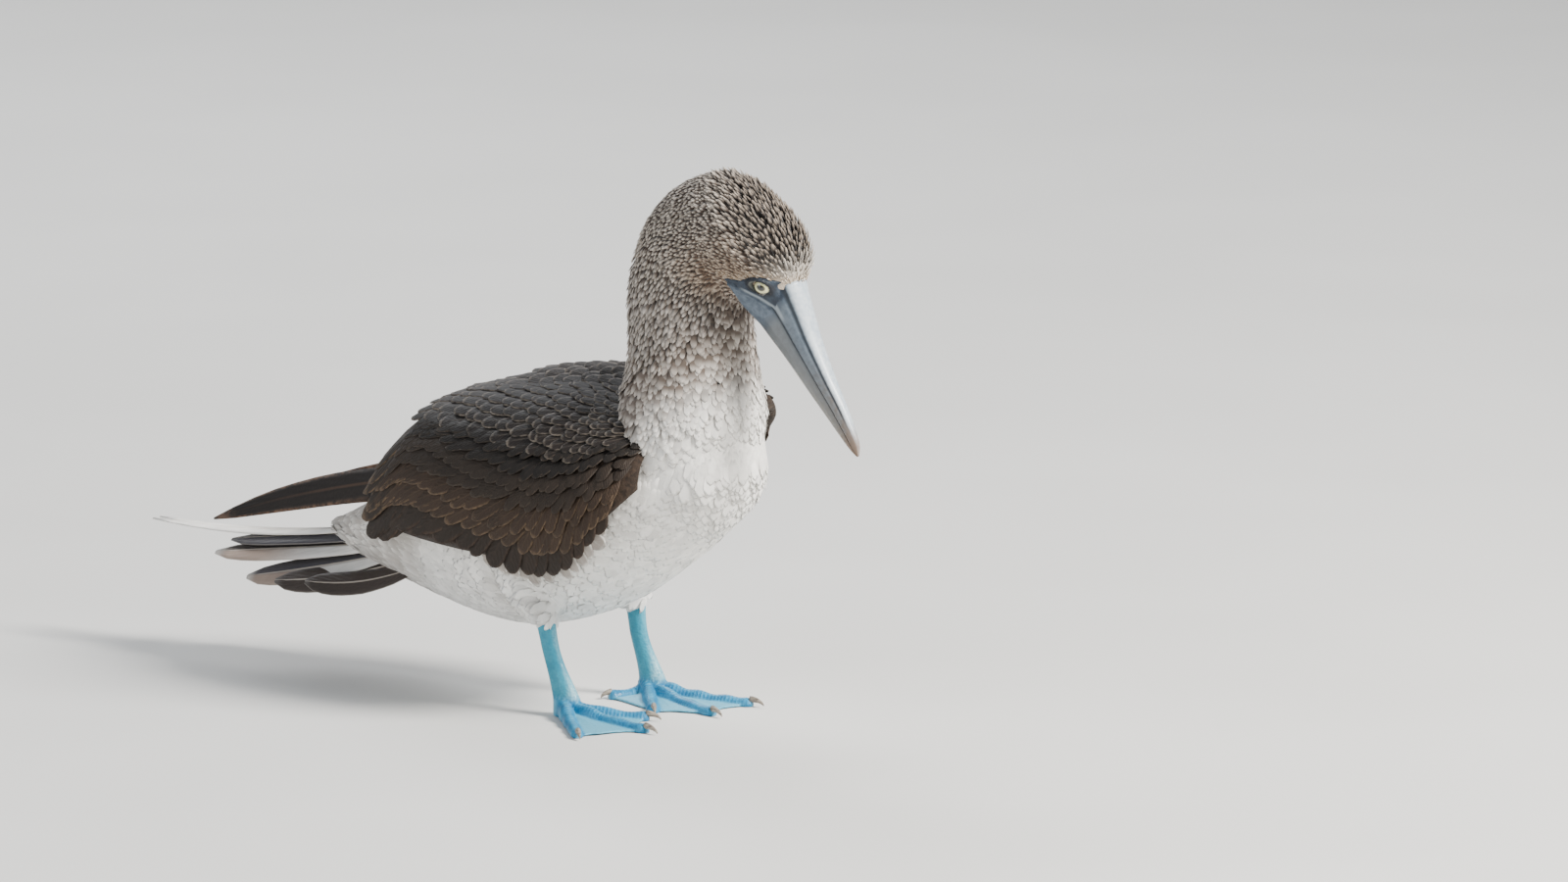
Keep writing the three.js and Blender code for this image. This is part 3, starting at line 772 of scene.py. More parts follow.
def neck_form(grow):
    rings = []
    for z in [*np.linspace(140, 318, 22), 325, 331, 335, 338]:
        centre, half_length, half_width = read_table(NECK, z)
        reach = half_length + grow
        rings.append(ring((centre, 0, z), LEFTWARD, AHEAD, half_width + grow, reach, reach, 48))
    return loft(rings)


def skull_ring(back, grow, sides):
    top, bottom, half_width = read_table(HEAD, back)
    middle = (top + bottom) / 2
    reach = max(top - middle + grow, 0.5)
    return ring(in_head(back, middle), LEFTWARD, UPWARD, max(half_width + grow, 0.5), reach, reach, sides)


def skull_form(grow):
    backs = [*np.linspace(107, 130, 10), *np.linspace(134, 186, 12), 190, 193, 196]
    return loft([skull_ring(back, grow, 40) for back in backs])


def thigh_form(name):
    top, end = THIGH[name]["top"], THIGH[name]["end"]
    rings = []
    for t, half_length, half_width in [(0, 23, 17), (0.45, 17, 12.5), (0.8, 11, 8.5), (1, 7, 6)]:
        rings.append(ring(blend(top, end, t), LEFTWARD, AHEAD, half_width, half_length, half_length, 20))
    return loft(rings)


def make_skin():
    forms = [trunk_form(-COAT["trunk"]), neck_form(-COAT["neck"]), skull_form(-COAT["head"])]
    forms += [thigh_form(name) for name in SIDES]
    skin = softened(fused("skin", forms, 2.2), 8)
    x, y, z = vertices_of(skin).T
    breast = smooth(60, 84, x) * smooth(100, 125, z) * smooth(222, 200, z)
    seam = smooth(20, 45, x) * smooth(190, 200, z) * smooth(230, 212, z)
    skin = softened(skin, 90, np.maximum(breast, seam))
    points, normals = vertices_of(skin), normals_of(skin)
    root, tip = markings(points)
    store(skin, "root_colour", "FLOAT_COLOR", root)
    store(skin, "tip_colour", "FLOAT_COLOR", tip)
    store(skin, "lie", "FLOAT_VECTOR", lie_at(points, normals))
    place = unwrap(points)
    store(skin, "unwrap", "FLOAT_VECTOR", np.concatenate([place, np.zeros((len(points), 1))], 1))
    store_regions(skin, points)
    return skin


# How each kind of small feather grows: the least distance apart and the length in millimetres, how far
# it lifts and how far it may turn in degrees, and the feather that is used
REGIONS = {
    "crown": {"apart": 1.7, "length": 8.0, "lift": 24, "ruffle": 12, "shape": "narrow"},
    "cheeks": {"apart": 1.6, "length": 4.8, "lift": 15, "ruffle": 11, "shape": "pointed"},
    "nape": {"apart": 2.05, "length": 8.8, "lift": 19, "ruffle": 9, "shape": "pointed"},
    "lower_neck": {"apart": 2.4, "length": 10.5, "lift": 9, "ruffle": 7, "shape": "soft"},
    "breast": {"apart": 2.8, "length": 14.0, "lift": 2.2, "ruffle": 3, "shape": "flat"},
    "belly": {"apart": 2.9, "length": 15.0, "lift": 2.2, "ruffle": 3, "shape": "flat"},
    "back": {"apart": 4.2, "length": 17.0, "lift": 7, "ruffle": 8, "shape": "rounded"},
    "rump": {"apart": 2.7, "length": 18.0, "lift": 4, "ruffle": 8, "shape": "loose"},
}


def store_regions(skin, points):
    x, y, z = points.T
    back, up = head_place(points)
    feathered = smooth(1.4, 0.6, bare_face(points)) * smooth(-202, -196, x)
    open_skin = 1 - under_wing(points)
    seam = z + 0.3 * (x - 60) - 285  # where the feathers of the head meet those of the neck
    on_head = seam > 0
    is_crown = on_head & (up > 3) & (back < 204)
    is_cheek = on_head & ~is_crown
    wander = 9 * np.sin(0.31 * y + 0.23 * x) * np.sin(0.27 * y - 0.19 * z) + 5 * np.sin(0.9 * y + 0.4 * z)
    is_nape = ~on_head & (z + 0.9 * (66 - x) + wander > 228) & (z > 186)
    is_lower_neck = ~on_head & ~is_nape & (z + 0.5 * (66 - x) + wander > 176) & (z > 160)
    is_rump = ~on_head & (x < -118) & (z <= 196)
    is_back = (z > 150) & (z <= 203) & (x < 36) & (np.abs(y) < 60) | (x < -60) & (z > 125)
    is_back &= ~is_rump
    is_belly = ~on_head & ~is_nape & ~is_lower_neck & ~is_rump & ~is_back & (x < 25)
    is_breast = ~(on_head | is_nape | is_lower_neck | is_rump | is_back | is_belly)
    masks = [is_crown, is_cheek, is_nape, is_lower_neck, is_breast, is_belly, is_back, is_rump]
    for name, mask in zip(REGIONS, masks):
        store(skin, "grows_" + name, "FLOAT", mask * feathered * open_skin)
    size = blend(0.55, 1, smooth(0, 14, -bare_face(points)))
    size *= blend(0.45, 1, smooth(0, 16, z - 56))
    size *= np.where(on_head, blend(1.35, 1, smooth(0, 26, seam)), blend(0.66, 1, smooth(0, 26, -seam)))
    store(skin, "size", "FLOAT", size)


# Each small feather: half width and thickness for a length of 1, then stations along it as (share of its
# length, share of its half width, height)
TUFTS = {
    "narrow": (0.13, 1, [(0, 0.5, 0.0), (0.3, 1.0, 0.03), (0.62, 0.9, 0.03), (0.86, 0.55, 0.0)]),
    "pointed": (0.18, 1, [(0, 0.5, 0.0), (0.35, 1.0, 0.03), (0.7, 0.95, 0.03), (0.9, 0.6, 0.0)]),
    "soft": (0.2, 0.6, [(0, 0.5, 0.0), (0.35, 1.0, 0.02), (0.7, 0.95, 0.01), (0.9, 0.6, -0.02)]),
    "rounded": (0.3, 0.7, [(0, 0.5, 0.0), (0.35, 0.9, 0.02), (0.7, 1.0, -0.01), (0.92, 0.62, -0.06)]),
    "flat": (0.24, 0.35, [(0, 0.5, 0.0), (0.35, 0.95, 0.0), (0.7, 1.0, -0.01), (0.9, 0.66, -0.03)]),
    "loose": (0.13, 0.8, [(0, 0.5, 0.0), (0.35, 0.95, 0.02), (0.7, 1.0, -0.01), (0.9, 0.6, -0.05)]),
}


def make_tuft(name):
    """A small closed feather, one unit long, lying along +X and facing +Z."""
    width, thick, stations = TUFTS[name]
    points, along, across, faces = [], [], [], []
    for t, share, height in stations:
        half = width * share
        for side, rise in ((-1, -0.035), (0, 0.02), (1, -0.035), (0, -0.03)):
            points.append((t, side * half, height + rise * thick * (1 - 0.4 * t)))
            along.append(t)
            across.append(side)
    rows = len(stations)
    for r in range(rows - 1):
        for i in range(4):
            a, b = r * 4 + i, r * 4 + (i + 1) % 4
            faces.append((a, a + 4, b + 4, b))
    points.append((1.0, 0, stations[-1][2] - 0.03 * thick))
    along.append(1.0)
    across.append(0)
    end, last = len(points) - 1, (rows - 1) * 4
    faces += [(last + i, end, last + (i + 1) % 4) for i in range(4)]
    faces.append((0, 1, 2, 3))
    mesh = bpy.data.meshes.new("tuft_" + name)
    mesh.from_pydata(points, [], faces)
    mesh.shade_smooth()
    if thick < 1:
        for edge in mesh.edges:
            edge.use_edge_sharp = all(across[i] for i in edge.vertices)
    made = bpy.data.objects.new("tuft_" + name, mesh)
    bpy.context.scene.collection.objects.link(made)
    store(made, "along", "FLOAT", along)
    store(made, "across", "FLOAT", across)
    return made


def coat_tree():
    """Geometry Nodes that set small feathers over the skin, along its lie."""
    tree = bpy.data.node_groups.new("Small feathers", "GeometryNodeTree")
    inputs = [
        ("Skin", "NodeSocketGeometry"),
        ("Feather", "NodeSocketObject"),
        ("Grows", "NodeSocketString"),
        ("Apart", "NodeSocketFloat"),
        ("Length", "NodeSocketFloat"),
        ("Lift", "NodeSocketFloat"),
        ("Ruffle", "NodeSocketFloat"),
        ("Seed", "NodeSocketInt"),
        ("Finish", "NodeSocketMaterial"),
    ]
    for name, kind in inputs:
        tree.interface.new_socket(name, in_out="INPUT", socket_type=kind)
    tree.interface.new_socket("Coat", in_out="OUTPUT", socket_type="NodeSocketGeometry")
    g = Graph(tree)
    given = g.node("NodeGroupInput").outputs
    seed = Number(g, given["Seed"])

    def named(name, kind="FLOAT"):
        made = g.node("GeometryNodeInputNamedAttribute", {"data_type": kind}, {"Name": name})
        return g.out(made, "Attribute")

    def chance(low, high, offset):
        limits = {"Min": low, "Max": high, "Seed": seed + offset}
        made = g.node("FunctionNodeRandomValue", {"data_type": "FLOAT"}, limits)
        return Number(g, g.out(made, "Value"))

    apart = Number(g, given["Apart"])
    spread = g.node(
        "GeometryNodeDistributePointsOnFaces",
        {"distribute_method": "POISSON"},
        {
            "Mesh": given["Skin"],
            "Distance Min": apart,
            "Density Max": 1.6 / (apart * apart),
            "Density Factor": named(given["Grows"]),
            "Seed": given["Seed"],
        },
    )
    facing = g.node(
        "FunctionNodeAxesToRotation",
        {"primary_axis": "Z", "secondary_axis": "X"},
        {"Primary Axis": spread.outputs["Normal"], "Secondary Axis": named("lie", "FLOAT_VECTOR")},
    )
    turn = g.node(
        "ShaderNodeCombineXYZ",
        None,
        {
            "X": Number(g, given["Ruffle"]) * chance(-1.0, 1.0, 1),
            "Y": Number(g, given["Lift"]) * chance(-1.3, -0.7, 2),
            "Z": Number(g, given["Ruffle"]) * chance(-0.9, 0.9, 3),
        },
    )
    turned = g.node("FunctionNodeEulerToRotation", None, {"Euler": turn.outputs[0]})
    pose = g.node(
        "FunctionNodeRotateRotation",
        {"rotation_space": "LOCAL"},
        {"Rotation": facing.outputs[0], "Rotate By": turned.outputs[0]},
    )
    size = Number(g, given["Length"]) * chance(0.8, 1.2, 4) * Number(g, named("size"))
    feather = g.node("GeometryNodeObjectInfo", None, {"Object": given["Feather"]})
    placed = g.node(
        "GeometryNodeInstanceOnPoints",
        None,
        {
            "Points": spread.outputs["Points"],
            "Instance": feather.outputs["Geometry"],
            "Rotation": pose.outputs[0],
            "Scale": size,
        },
    )
    tinted = g.node(
        "GeometryNodeStoreNamedAttribute",
        {"data_type": "FLOAT", "domain": "INSTANCE"},
        {"Geometry": placed.outputs[0], "Name": "tint", "Value": chance(0.0, 1.0, 5)},
    )
    real = g.node("GeometryNodeRealizeInstances", None, {"Geometry": tinted.outputs[0]})
    patch = g.node(
        "ShaderNodeCombineXYZ",
        None,
        {"X": Number(g, named("along")) * 0.003, "Y": (Number(g, named("across")) + 1) * 0.0014},
    )
    spot = named("unwrap", "FLOAT_VECTOR")
    on_map = g.node("ShaderNodeVectorMath", {"operation": "ADD"}, {0: spot, 1: patch.outputs[0]})
    mapped = g.node(
        "GeometryNodeStoreNamedAttribute",
        {"data_type": "FLOAT2", "domain": "CORNER"},
        {"Geometry": real.outputs[0], "Name": "OFBake", "Value": on_map.outputs[0]},
    )
    dressed = g.node(
        "GeometryNodeSetMaterial", None, {"Geometry": mapped.outputs[0], "Material": given["Finish"]}
    )
    g.node("NodeGroupOutput", None, {0: dressed.outputs[0]})
    return tree


def set_inputs(modifier, values):
    for item in modifier.node_group.interface.items_tree:
        if item.name in values:
            modifier[item.identifier] = values[item.name]


COAT_SLOTS = {"crown": "head_feathers", "cheeks": "head_feathers", "lower_neck": "neck_feathers"}


def make_coat(skin, tufts, finish):
    tree = coat_tree()
    for number, (name, look) in enumerate(REGIONS.items()):
        made = bpy.data.objects.new("coat_" + name, skin.data.copy())
        bpy.context.scene.collection.objects.link(made)
        grower = made.modifiers.new("Feathers", "NODES")
        grower.node_group = tree
        set_inputs(
            grower,
            {
                "Feather": tufts[look["shape"]],
                "Grows": "grows_" + name,
                "Apart": look["apart"] * MM,
                "Length": look["length"] * MM,
                "Lift": math.radians(look["lift"]),
                "Ruffle": math.radians(look["ruffle"]),
                "Seed": SEED + number,
                "Finish": finish,
            },
        )
        applied(made)
        made.data.shade_smooth()
        piece(made, COAT_SLOTS.get(name, "body_feathers"))


# Long feathers


class Vanes:
    """Collects vanes, each a closed thin blade, into one mesh."""

    def __init__(self):
        self.points, self.faces, self.count = [], [], 0
        self.values = {name: [] for name in ("along", "across", "tint", "plain", "root_colour", "tip_colour")}
        self.cells = []

    def add(self, outer, inner, along, across, tint, root, tip):
        """outer and inner are grids of points, row by row along the vane."""
        rows, columns, _ = outer.shape
        block = np.concatenate([outer.reshape(-1, 3), inner.reshape(-1, 3)])
        half, start = rows * columns, self.count

        def at(r, c, layer):
            return start + layer * half + r * columns + c

        for r in range(rows - 1):
            for c in range(columns - 1):
                self.faces.append((at(r, c, 0), at(r, c + 1, 0), at(r + 1, c + 1, 0), at(r + 1, c, 0)))
                self.faces.append((at(r, c, 1), at(r + 1, c, 1), at(r + 1, c + 1, 1), at(r, c + 1, 1)))
            self.faces.append((at(r, 0, 0), at(r + 1, 0, 0), at(r + 1, 0, 1), at(r, 0, 1)))
            end = columns - 1
            self.faces.append((at(r, end, 0), at(r, end, 1), at(r + 1, end, 1), at(r + 1, end, 0)))
        last = rows - 1
        for c in range(columns - 1):
            self.faces.append((at(0, c, 0), at(0, c, 1), at(0, c + 1, 1), at(0, c + 1, 0)))
            self.faces.append((at(last, c, 0), at(last, c + 1, 0), at(last, c + 1, 1), at(last, c, 1)))
        self.points.append(block)
        self.count += len(block)
        self.values["along"].append(np.tile(np.repeat(along, columns), 2))
        self.values["across"].append(np.tile(np.tile(across, rows), 2))
        self.values["tint"].append(np.full(len(block), tint))
        self.values["root_colour"].append(np.tile(root, (len(block), 1)))
        self.values["tip_colour"].append(np.tile(tip, (len(block), 1)))
        self.values["plain"].append(np.full(len(block), float(np.allclose(root, tip))))
        self.cells.append(len(block))

    def finished(self, name, finish, slot, *nodes):
        made = mesh_object(name, np.concatenate(self.points), self.faces)
        outward(made)
        values = {key: np.concatenate(parts) for key, parts in self.values.items()}
        for key, value in values.items():
            store(made, key, "FLOAT_COLOR" if key.endswith("colour") else "FLOAT", value)
        grid = math.ceil(math.sqrt(len(self.cells)))
        number = np.repeat(np.arange(len(self.cells)), self.cells)
        layer = np.concatenate([np.repeat([0, 1], size // 2) for size in self.cells])
        u = (number % grid + 0.05 + 0.43 * (values["across"] + 1) / 2 + 0.47 * layer) / grid
        v = (number // grid + 0.05 + 0.9 * values["along"]) / grid
        corners = np.empty(len(made.data.loops), int)
        made.data.loops.foreach_get("vertex_index", corners)
        store(made, "OFBake", "FLOAT2", np.stack([u, v], -1)[corners], "CORNER")
        made.data.materials.append(finish)
        piece(made, slot, *nodes)


ACROSS = np.array([-1, -0.66, -0.3, 0, 0.3, 0.66, 1])
RACHIS = np.array([0, 0, 0, 1, 0, 0, 0])
ROUND_TIP = [(0, 0.45), (0.2, 0.8), (0.45, 1), (0.7, 0.98), (0.86, 0.8), (0.95, 0.52), (1, 0.16)]
POINTED_TIP = [(0, 0.55), (0.25, 0.95), (0.5, 1), (0.7, 0.8), (0.85, 0.52), (0.95, 0.25), (1, 0.06)]


def vane_on_wing(vanes, side, root, tip, look, tint):
    """A vane over the wing's surface from root to tip, each (x, angle)."""
    t, share = np.array(ROUND_TIP).T
    x, angle = blend(root[0], tip[0], t), blend(root[1], tip[1], t)
    at = wing_surface(side, x, angle)
    heading = unit(np.gradient(at, axis=0))
    out = wing_normal(side, x, angle)
    across = unit(np.cross(out, heading)) * side
    along_x, around = wing_tangents(side, x, angle)
    half = look["half"] * share
    width = half[:, None] * ACROSS[None, :]
    grid_x = x[:, None] + width * (np.sum(across * along_x, -1) / np.sum(along_x**2, -1))[:, None]
    grid_angle = angle[:, None] + width * (np.sum(across * around, -1) / np.sum(around**2, -1))[:, None]
    surface, normal = wing_surface(side, grid_x, grid_angle), wing_normal(side, grid_x, grid_angle)
    lift = blend(-look["sunk"], look["raised"], np.minimum(1, t * look.get("rise", 1.6)))[:, None]
    lift = lift + width * math.tan(math.radians(look["tilt"])) - np.abs(width) * 0.06 + 0.22 * RACHIS[None, :]
    outer = surface + normal * lift[..., None]
    inner = outer - normal * (0.5 * np.minimum(1, share / 0.5))[:, None, None]
    vanes.add(outer, inner, t, ACROSS, tint, look["root"], look["tip"])


# Rows of feathers on the wing, from the lowest to the top one, which lies over the others. Roots and
# tips are (x, angle), from the first feather at the front to the last at the back.
WING_ROWS = [
    {"kind": "axillars", "count": 15, "half": 5.5, "sunk": 5, "raised": -2.2, "tilt": 5,
     "roots": [(40, 100), (-40, 104)], "tips": [(50, 116), (26, 129), (0, 133), (-24, 130), (-44, 124)],
     "colours": ("flank_dark", "white")},
    {"kind": "secondaries", "count": 19, "half": 8.2, "sunk": 3.2, "raised": 0.2, "tilt": 7,
     "roots": [(48, 92), (2, 96), (-50, 88), (-98, 70)],
     "tips": [(47, 111), (18, 124), (-14, 126), (-50, 116), (-96, 102), (-130, 106), (-157, 112)],
     "colours": ("secondary", "secondary_edge")},
    {"kind": "tertials", "count": 5, "half": 9, "sunk": 2.4, "raised": 1.0, "tilt": 6,
     "roots": [(-88, 62), (-82, 26)], "tips": [(-154, 100), (-150, 62)],
     "colours": ("secondary", "lower_edge")},
    {"kind": "greater coverts", "count": 23, "half": 6.4, "sunk": 2.4, "raised": 1.0, "tilt": 6,
     "roots": [(56, 84), (30, 90), (-4, 90), (-50, 78), (-96, 58)],
     "tips": [(50, 102), (26, 113), (-12, 113), (-58, 100), (-110, 86), (-146, 92)],
     "colours": ("lower_covert", "lower_edge")},
    {"kind": "median coverts", "count": 25, "half": 5.4, "sunk": 2.2, "raised": 1.4, "tilt": 6,
     "roots": [(59, 76), (28, 83), (-6, 83), (-54, 71), (-98, 50)],
     "tips": [(53, 92), (28, 101), (-10, 101), (-58, 89), (-110, 76), (-139, 79)],
     "colours": ("lower_covert", "lower_edge")},
    # The lesser coverts, darker towards the top rows: their own dark brown with painted shade under the
    # scapulars
    {"kind": "lesser coverts 1", "count": 26, "half": 5.0, "sunk": 2.0, "raised": 1.6, "tilt": 6,
     "roots": [(62, 68), (28, 75), (-6, 75), (-54, 63), (-96, 43)],
     "tips": [(56, 82), (28, 91), (-9, 91), (-58, 79), (-108, 65), (-131, 67)],
     "colours": ("middle_covert", "covert_edge")},
    {"kind": "lesser coverts 2", "count": 26, "half": 4.9, "sunk": 1.9, "raised": 1.8, "tilt": 6,
     "roots": [(63, 60), (28, 67), (-6, 67), (-54, 55), (-94, 37)],
     "tips": [(58, 73), (28, 82), (-8, 82), (-58, 70), (-106, 56), (-126, 57)],
     "colours": ("middle_covert", "covert_edge")},
    {"kind": "lesser coverts 3", "count": 26, "half": 4.8, "sunk": 1.8, "raised": 2.0, "tilt": 6,
     "roots": [(64, 52), (28, 59), (-6, 59), (-54, 47), (-92, 31)],
     "tips": [(59, 64), (28, 73), (-8, 73), (-58, 61), (-104, 48), (-121, 48)],
     "colours": ("covert", "covert_edge")},
    {"kind": "lesser coverts 4", "count": 25, "half": 4.8, "sunk": 1.7, "raised": 2.2, "tilt": 6,
     "roots": [(65, 44), (28, 50), (-6, 50), (-54, 40), (-90, 26)],
     "tips": [(60, 56), (28, 64), (-8, 64), (-58, 53), (-102, 41), (-117, 40)],
     "colours": ("covert", "covert_edge")},
]


# The scapulars and the mantle, from behind to the shoulder: x, length, half width, angle of the lowest
SCAPULARS = [
    (-94, 33, 8.0, 31),
    (-60, 29, 7.6, 35),
    (-20, 24, 6.4, 43),
    (20, 19, 5.2, 50),
    (50, 16, 4.3, 50),
    (66, 15, 3.9, 42),
]


def add_scapulars(vanes, side, chance):
    x, rank = -94.0, 0
    columns = []
    while x < 62:
        columns.append((x, rank))
        x += 0.36 * float(read_table(SCAPULARS, x)[0])
        rank += 1
    for x, rank in columns:
        length, half, lowest = read_table(SCAPULARS, x)
        step = 1.36 * half / 1.27
        count = int(lowest / step) + 1
        for i in range(count):
            angle = 1.5 + (i + 0.5 * (rank % 2)) * step
            jitter = chance.normal(0, 1, 5)
            root = np.array([x + jitter[0], angle + 0.5 * jitter[1]])
            drop = 1.0 + 8.0 * (angle / 50) * smooth(-90, 50, x)
            tip = root + np.array([-length + 1.5 * jitter[2], drop + 0.7 * jitter[3]])
            look = {"half": half * (1 + 0.05 * jitter[4]), "sunk": 0.8, "raised": 2.7, "tilt": 4, "rise": 1.0}
            look.update(root=SHADES["mantle"], tip=SHADES["mantle_edge"])
            vane_on_wing(vanes, side, root, tip, look, chance.random())


def along_path(points, t):
    keys = np.linspace(0, 1, len(points))
    return np.array([np.interp(t, keys, column) for column in np.array(points, float).T])


def make_wing(name, finish):
    """One wing's feathers, from its lowest row up."""
    side = SIDES[name]
    chance = np.random.default_rng(SEED + (1 if side > 0 else 2))
    vanes = Vanes()
    for row in WING_ROWS:
        for i in range(row["count"]):
            t = i / (row["count"] - 1)
            jitter = chance.normal(0, 1, 5)
            root = along_path(row["roots"], t) + jitter[0:2] * (1.0, 0.6)
            tip = along_path(row["tips"], t) + jitter[2:4] * (1.9, 1.6)
            look = dict(row, root=SHADES[row["colours"][0]], tip=SHADES[row["colours"][1]])
            look["half"] = row["half"] * (1 + 0.06 * jitter[4])
            vane_on_wing(vanes, side, root, tip, look, chance.random())
    add_scapulars(vanes, side, chance)
    add_primaries(vanes, side, chance)
    vanes.finished("wing_feathers_" + name, finish, "wing_feathers", "wing_" + name)


# The line of the folded primaries, from the wing to their tips
PRIMARY_PATH = [(-104, 55, 137), (-150, 39.5, 129), (-200, 28, 117), (-250, 19, 103), (-300, 12, 86)]


def curve_through(points, t):
    """A smooth curve through points, read at shares t of its length."""
    keys = np.linspace(0, 1, len(points))
    return read_table(np.column_stack([keys, np.asarray(points, float)]), t)


STATIONS = np.linspace(0, 1, 12)


def free_vane(at, facing, half, outline, shaft, thickness):
    """A vane's outer and inner sides along a line of points, and the way that it faces."""
    t, share = np.array(outline).T
    heading = unit(np.gradient(at, axis=0))
    out = unit(facing - heading * np.sum(heading * facing, -1, keepdims=True))
    across = unit(np.cross(out, heading))
    width = (half * np.interp(STATIONS, t, share))[:, None] * ACROSS[None, :]
    rise = -np.abs(width) * 0.12 + shaft * RACHIS[None, :]
    outer = at[:, None] + across[:, None] * width[..., None] + out[:, None] * rise[..., None]
    return outer, outer - out[:, None] * thickness, out


def add_primaries(vanes, side, chance):
    """The long feathers of the wing's point, each under the one before it and shorter."""
    path = np.array(PRIMARY_PATH, float) * (1, -side, 1)
    facing = np.array([0, -side, 0.42])
    for order in range(7):
        at = curve_through(path, STATIONS * (1 - order * 0.085))
        outer, inner, out = free_vane(at, facing, 10.3, POINTED_TIP, 0.25, 0.55)
        sunk = out[:, None] * (order * 1.15)
        colours = SHADES["primary"], SHADES["primary_edge"]
        vanes.add(outer - sunk, inner - sunk, STATIONS, ACROSS, chance.random(), *colours)


def wing_core(side):
    columns = 24
    rings = []
    for x in [-148, -142, -134, -124, -112, -98, -82, -64, -44, -22, 0, 18, 34, 46, 56, 63, 68]:
        first, last, depth = read_table(WING_CORE, x)
        angles = np.linspace(first, last, columns)
        normal = wing_normal(side, np.full(columns, x), angles)
        outer = wing_surface(side, np.full(columns, x), angles) - normal * 1.2
        share = np.sqrt(np.clip(np.sin(np.linspace(0, math.pi, columns)), 0, 1))[:, None]
        inner = outer - normal * depth * share
        rings.append(np.concatenate([outer, inner[1:-1][::-1]]))
    return loft(rings)


def make_wing_core(name, finish):
    closed_piece("wing_arm_" + name, wing_core(SIDES[name]), finish, "wing_feathers")


# The tail feathers of one side, from the middle pair outwards: where each begins and ends, its half width,
# how far its middle rises, and its inner and outer colours
TAIL = [
    ((-168, 3, 95), (-356, 3.5, 79), 8, -5, "tail_middle", "tail_middle"),
    ((-166, 5, 90), (-287, 10, 74.5), 10.5, 1, "tail_slate", "tail_slate"),
    ((-164, 8, 85), (-293, 19, 67), 11, 0, "tail_outer", "tail_pale"),
    ((-158, 12, 80), (-260, 29, 56.5), 11.5, -1, "tail_slate", "tail_pale"),
    ((-148, 15, 76), (-232, 36, 58), 10.5, -3, "tail_outer", "tail_outer"),
    ((-138, 18, 73), (-205, 40, 61), 9, -4, "tail_outer", "tail_outer"),
]


def make_tail(finish):
    chance = np.random.default_rng(SEED + 3)
    vanes = Vanes()
    for side in SIDES.values():
        for order, (root, end, half, rise, *colours) in enumerate(TAIL):
            root, end = (np.array(place, float) * (1, -side, 1) for place in (root, end))
            at = blend(root, end, STATIONS[:, None]) + UP * (rise * np.sin(math.pi * STATIONS))[:, None]
            facing = np.array([0, -side * (0.1 + 0.2 * order), 1])
            outline = POINTED_TIP if order == 0 else ROUND_TIP
            outer, inner, _ = free_vane(at, facing, half, outline, 0.3, 0.6)
            shades = [SHADES[key] for key in colours]
            vanes.add(outer, inner, STATIONS, ACROSS * side, chance.random(), *shades)
    vanes.finished("tail_feathers", finish, "tail_feathers")


# Bill


def bill_half(upper):
    rings = []
    backs = [1, 2, 3.5, 5.5, 8, 11, 15, 20, *np.linspace(26, 110, 29), 112]
    for back in backs:
        top, bottom, half_width, line = read_table(BILL, back)
        edge = line + (0.14 if upper else -0.14)
        reach = (top if upper else bottom) - edge
        angles = np.linspace(0, math.pi, 33)
        height = np.sin(angles) ** (0.85 if upper else 0.75)
        groove = smooth(8, 30, back) * 0.1 * np.exp(-(((height - 0.62) / 0.07) ** 2))
        inset = 1 - groove * (1 if upper else 0.5)
        rings.append(in_head(np.full(33, back), edge + reach * height, half_width * np.cos(angles) * inset))
    return loft(rings)


def make_bill(finish):
    for name, upper in (("bill_upper", True), ("bill_lower", False)):
        points, faces = bill_half(upper)
        back, up = head_place(points)
        top, _, _, line = read_table(BILL, back).T
        height = np.clip((up - line) / np.maximum(np.abs(top - line), 0.5), -1, 1)
        values = {"back": back, "height": height}
        closed_piece(name + "_horn", (points, faces), finish, "bill", name, values=values)


# The bare face, with its lids and the line of the mouth


EYE_SLIT = np.array([math.cos(EYE["pitch"]), 0, -math.sin(EYE["pitch"])])
EYE_RISE = np.array([math.sin(EYE["pitch"]), 0, math.cos(EYE["pitch"])])


def along_eye(points):
    """Distances from the middle of the eye along its slit and across it, in the side view."""
    offset = points - in_head(EYE["back"], EYE["up"])
    return offset @ EYE_SLIT, offset @ EYE_RISE


def make_face(finish):
    points, faces = loft([skull_ring(back, 0.0, 220) for back in np.linspace(101, 140, 118)])
    back, up = head_place(points)
    out = unit((points - in_head(125.0, -3.0)) * (0.25, 1, 0.25))
    sideways = np.abs(out[:, 1]) > 0.35
    slit, rise = along_eye(points)
    ring_size = np.sqrt((slit / LID["long"]) ** 2 + (rise / LID["high"]) ** 2)
    swell = 1.7 * np.exp(-(((ring_size - 1.25) / 0.42) ** 2)) + 1.0 * np.exp(-((ring_size / 2.4) ** 2))
    pit = -5.5 * smooth(1.06, 0.86, ring_size)
    lines = np.array(MOUTH_LINE)
    gape = up - np.interp(back, lines[:, 0], lines[:, 1])
    groove = -0.9 * np.exp(-((gape / 0.55) ** 2)) + 0.5 * np.exp(-(((gape + 1.6) / 1.0) ** 2))
    groove = groove * smooth(96, 106, back) * smooth(137, 131, back)
    lift = (swell + pit + groove) * sideways
    lift = lift - 3.0 * smooth(-0.4, 2.4, -bare_face(points)) + 0.5
    lift = lift - 2.6 * smooth(7, 12, up) * smooth(116, 112, back)
    points = points + out * lift[:, None]
    values = {"lid": ring_size, "gape": gape, "back": back}
    closed_piece("face_skin", (points, faces[:-2]), finish, "bill", values=values)


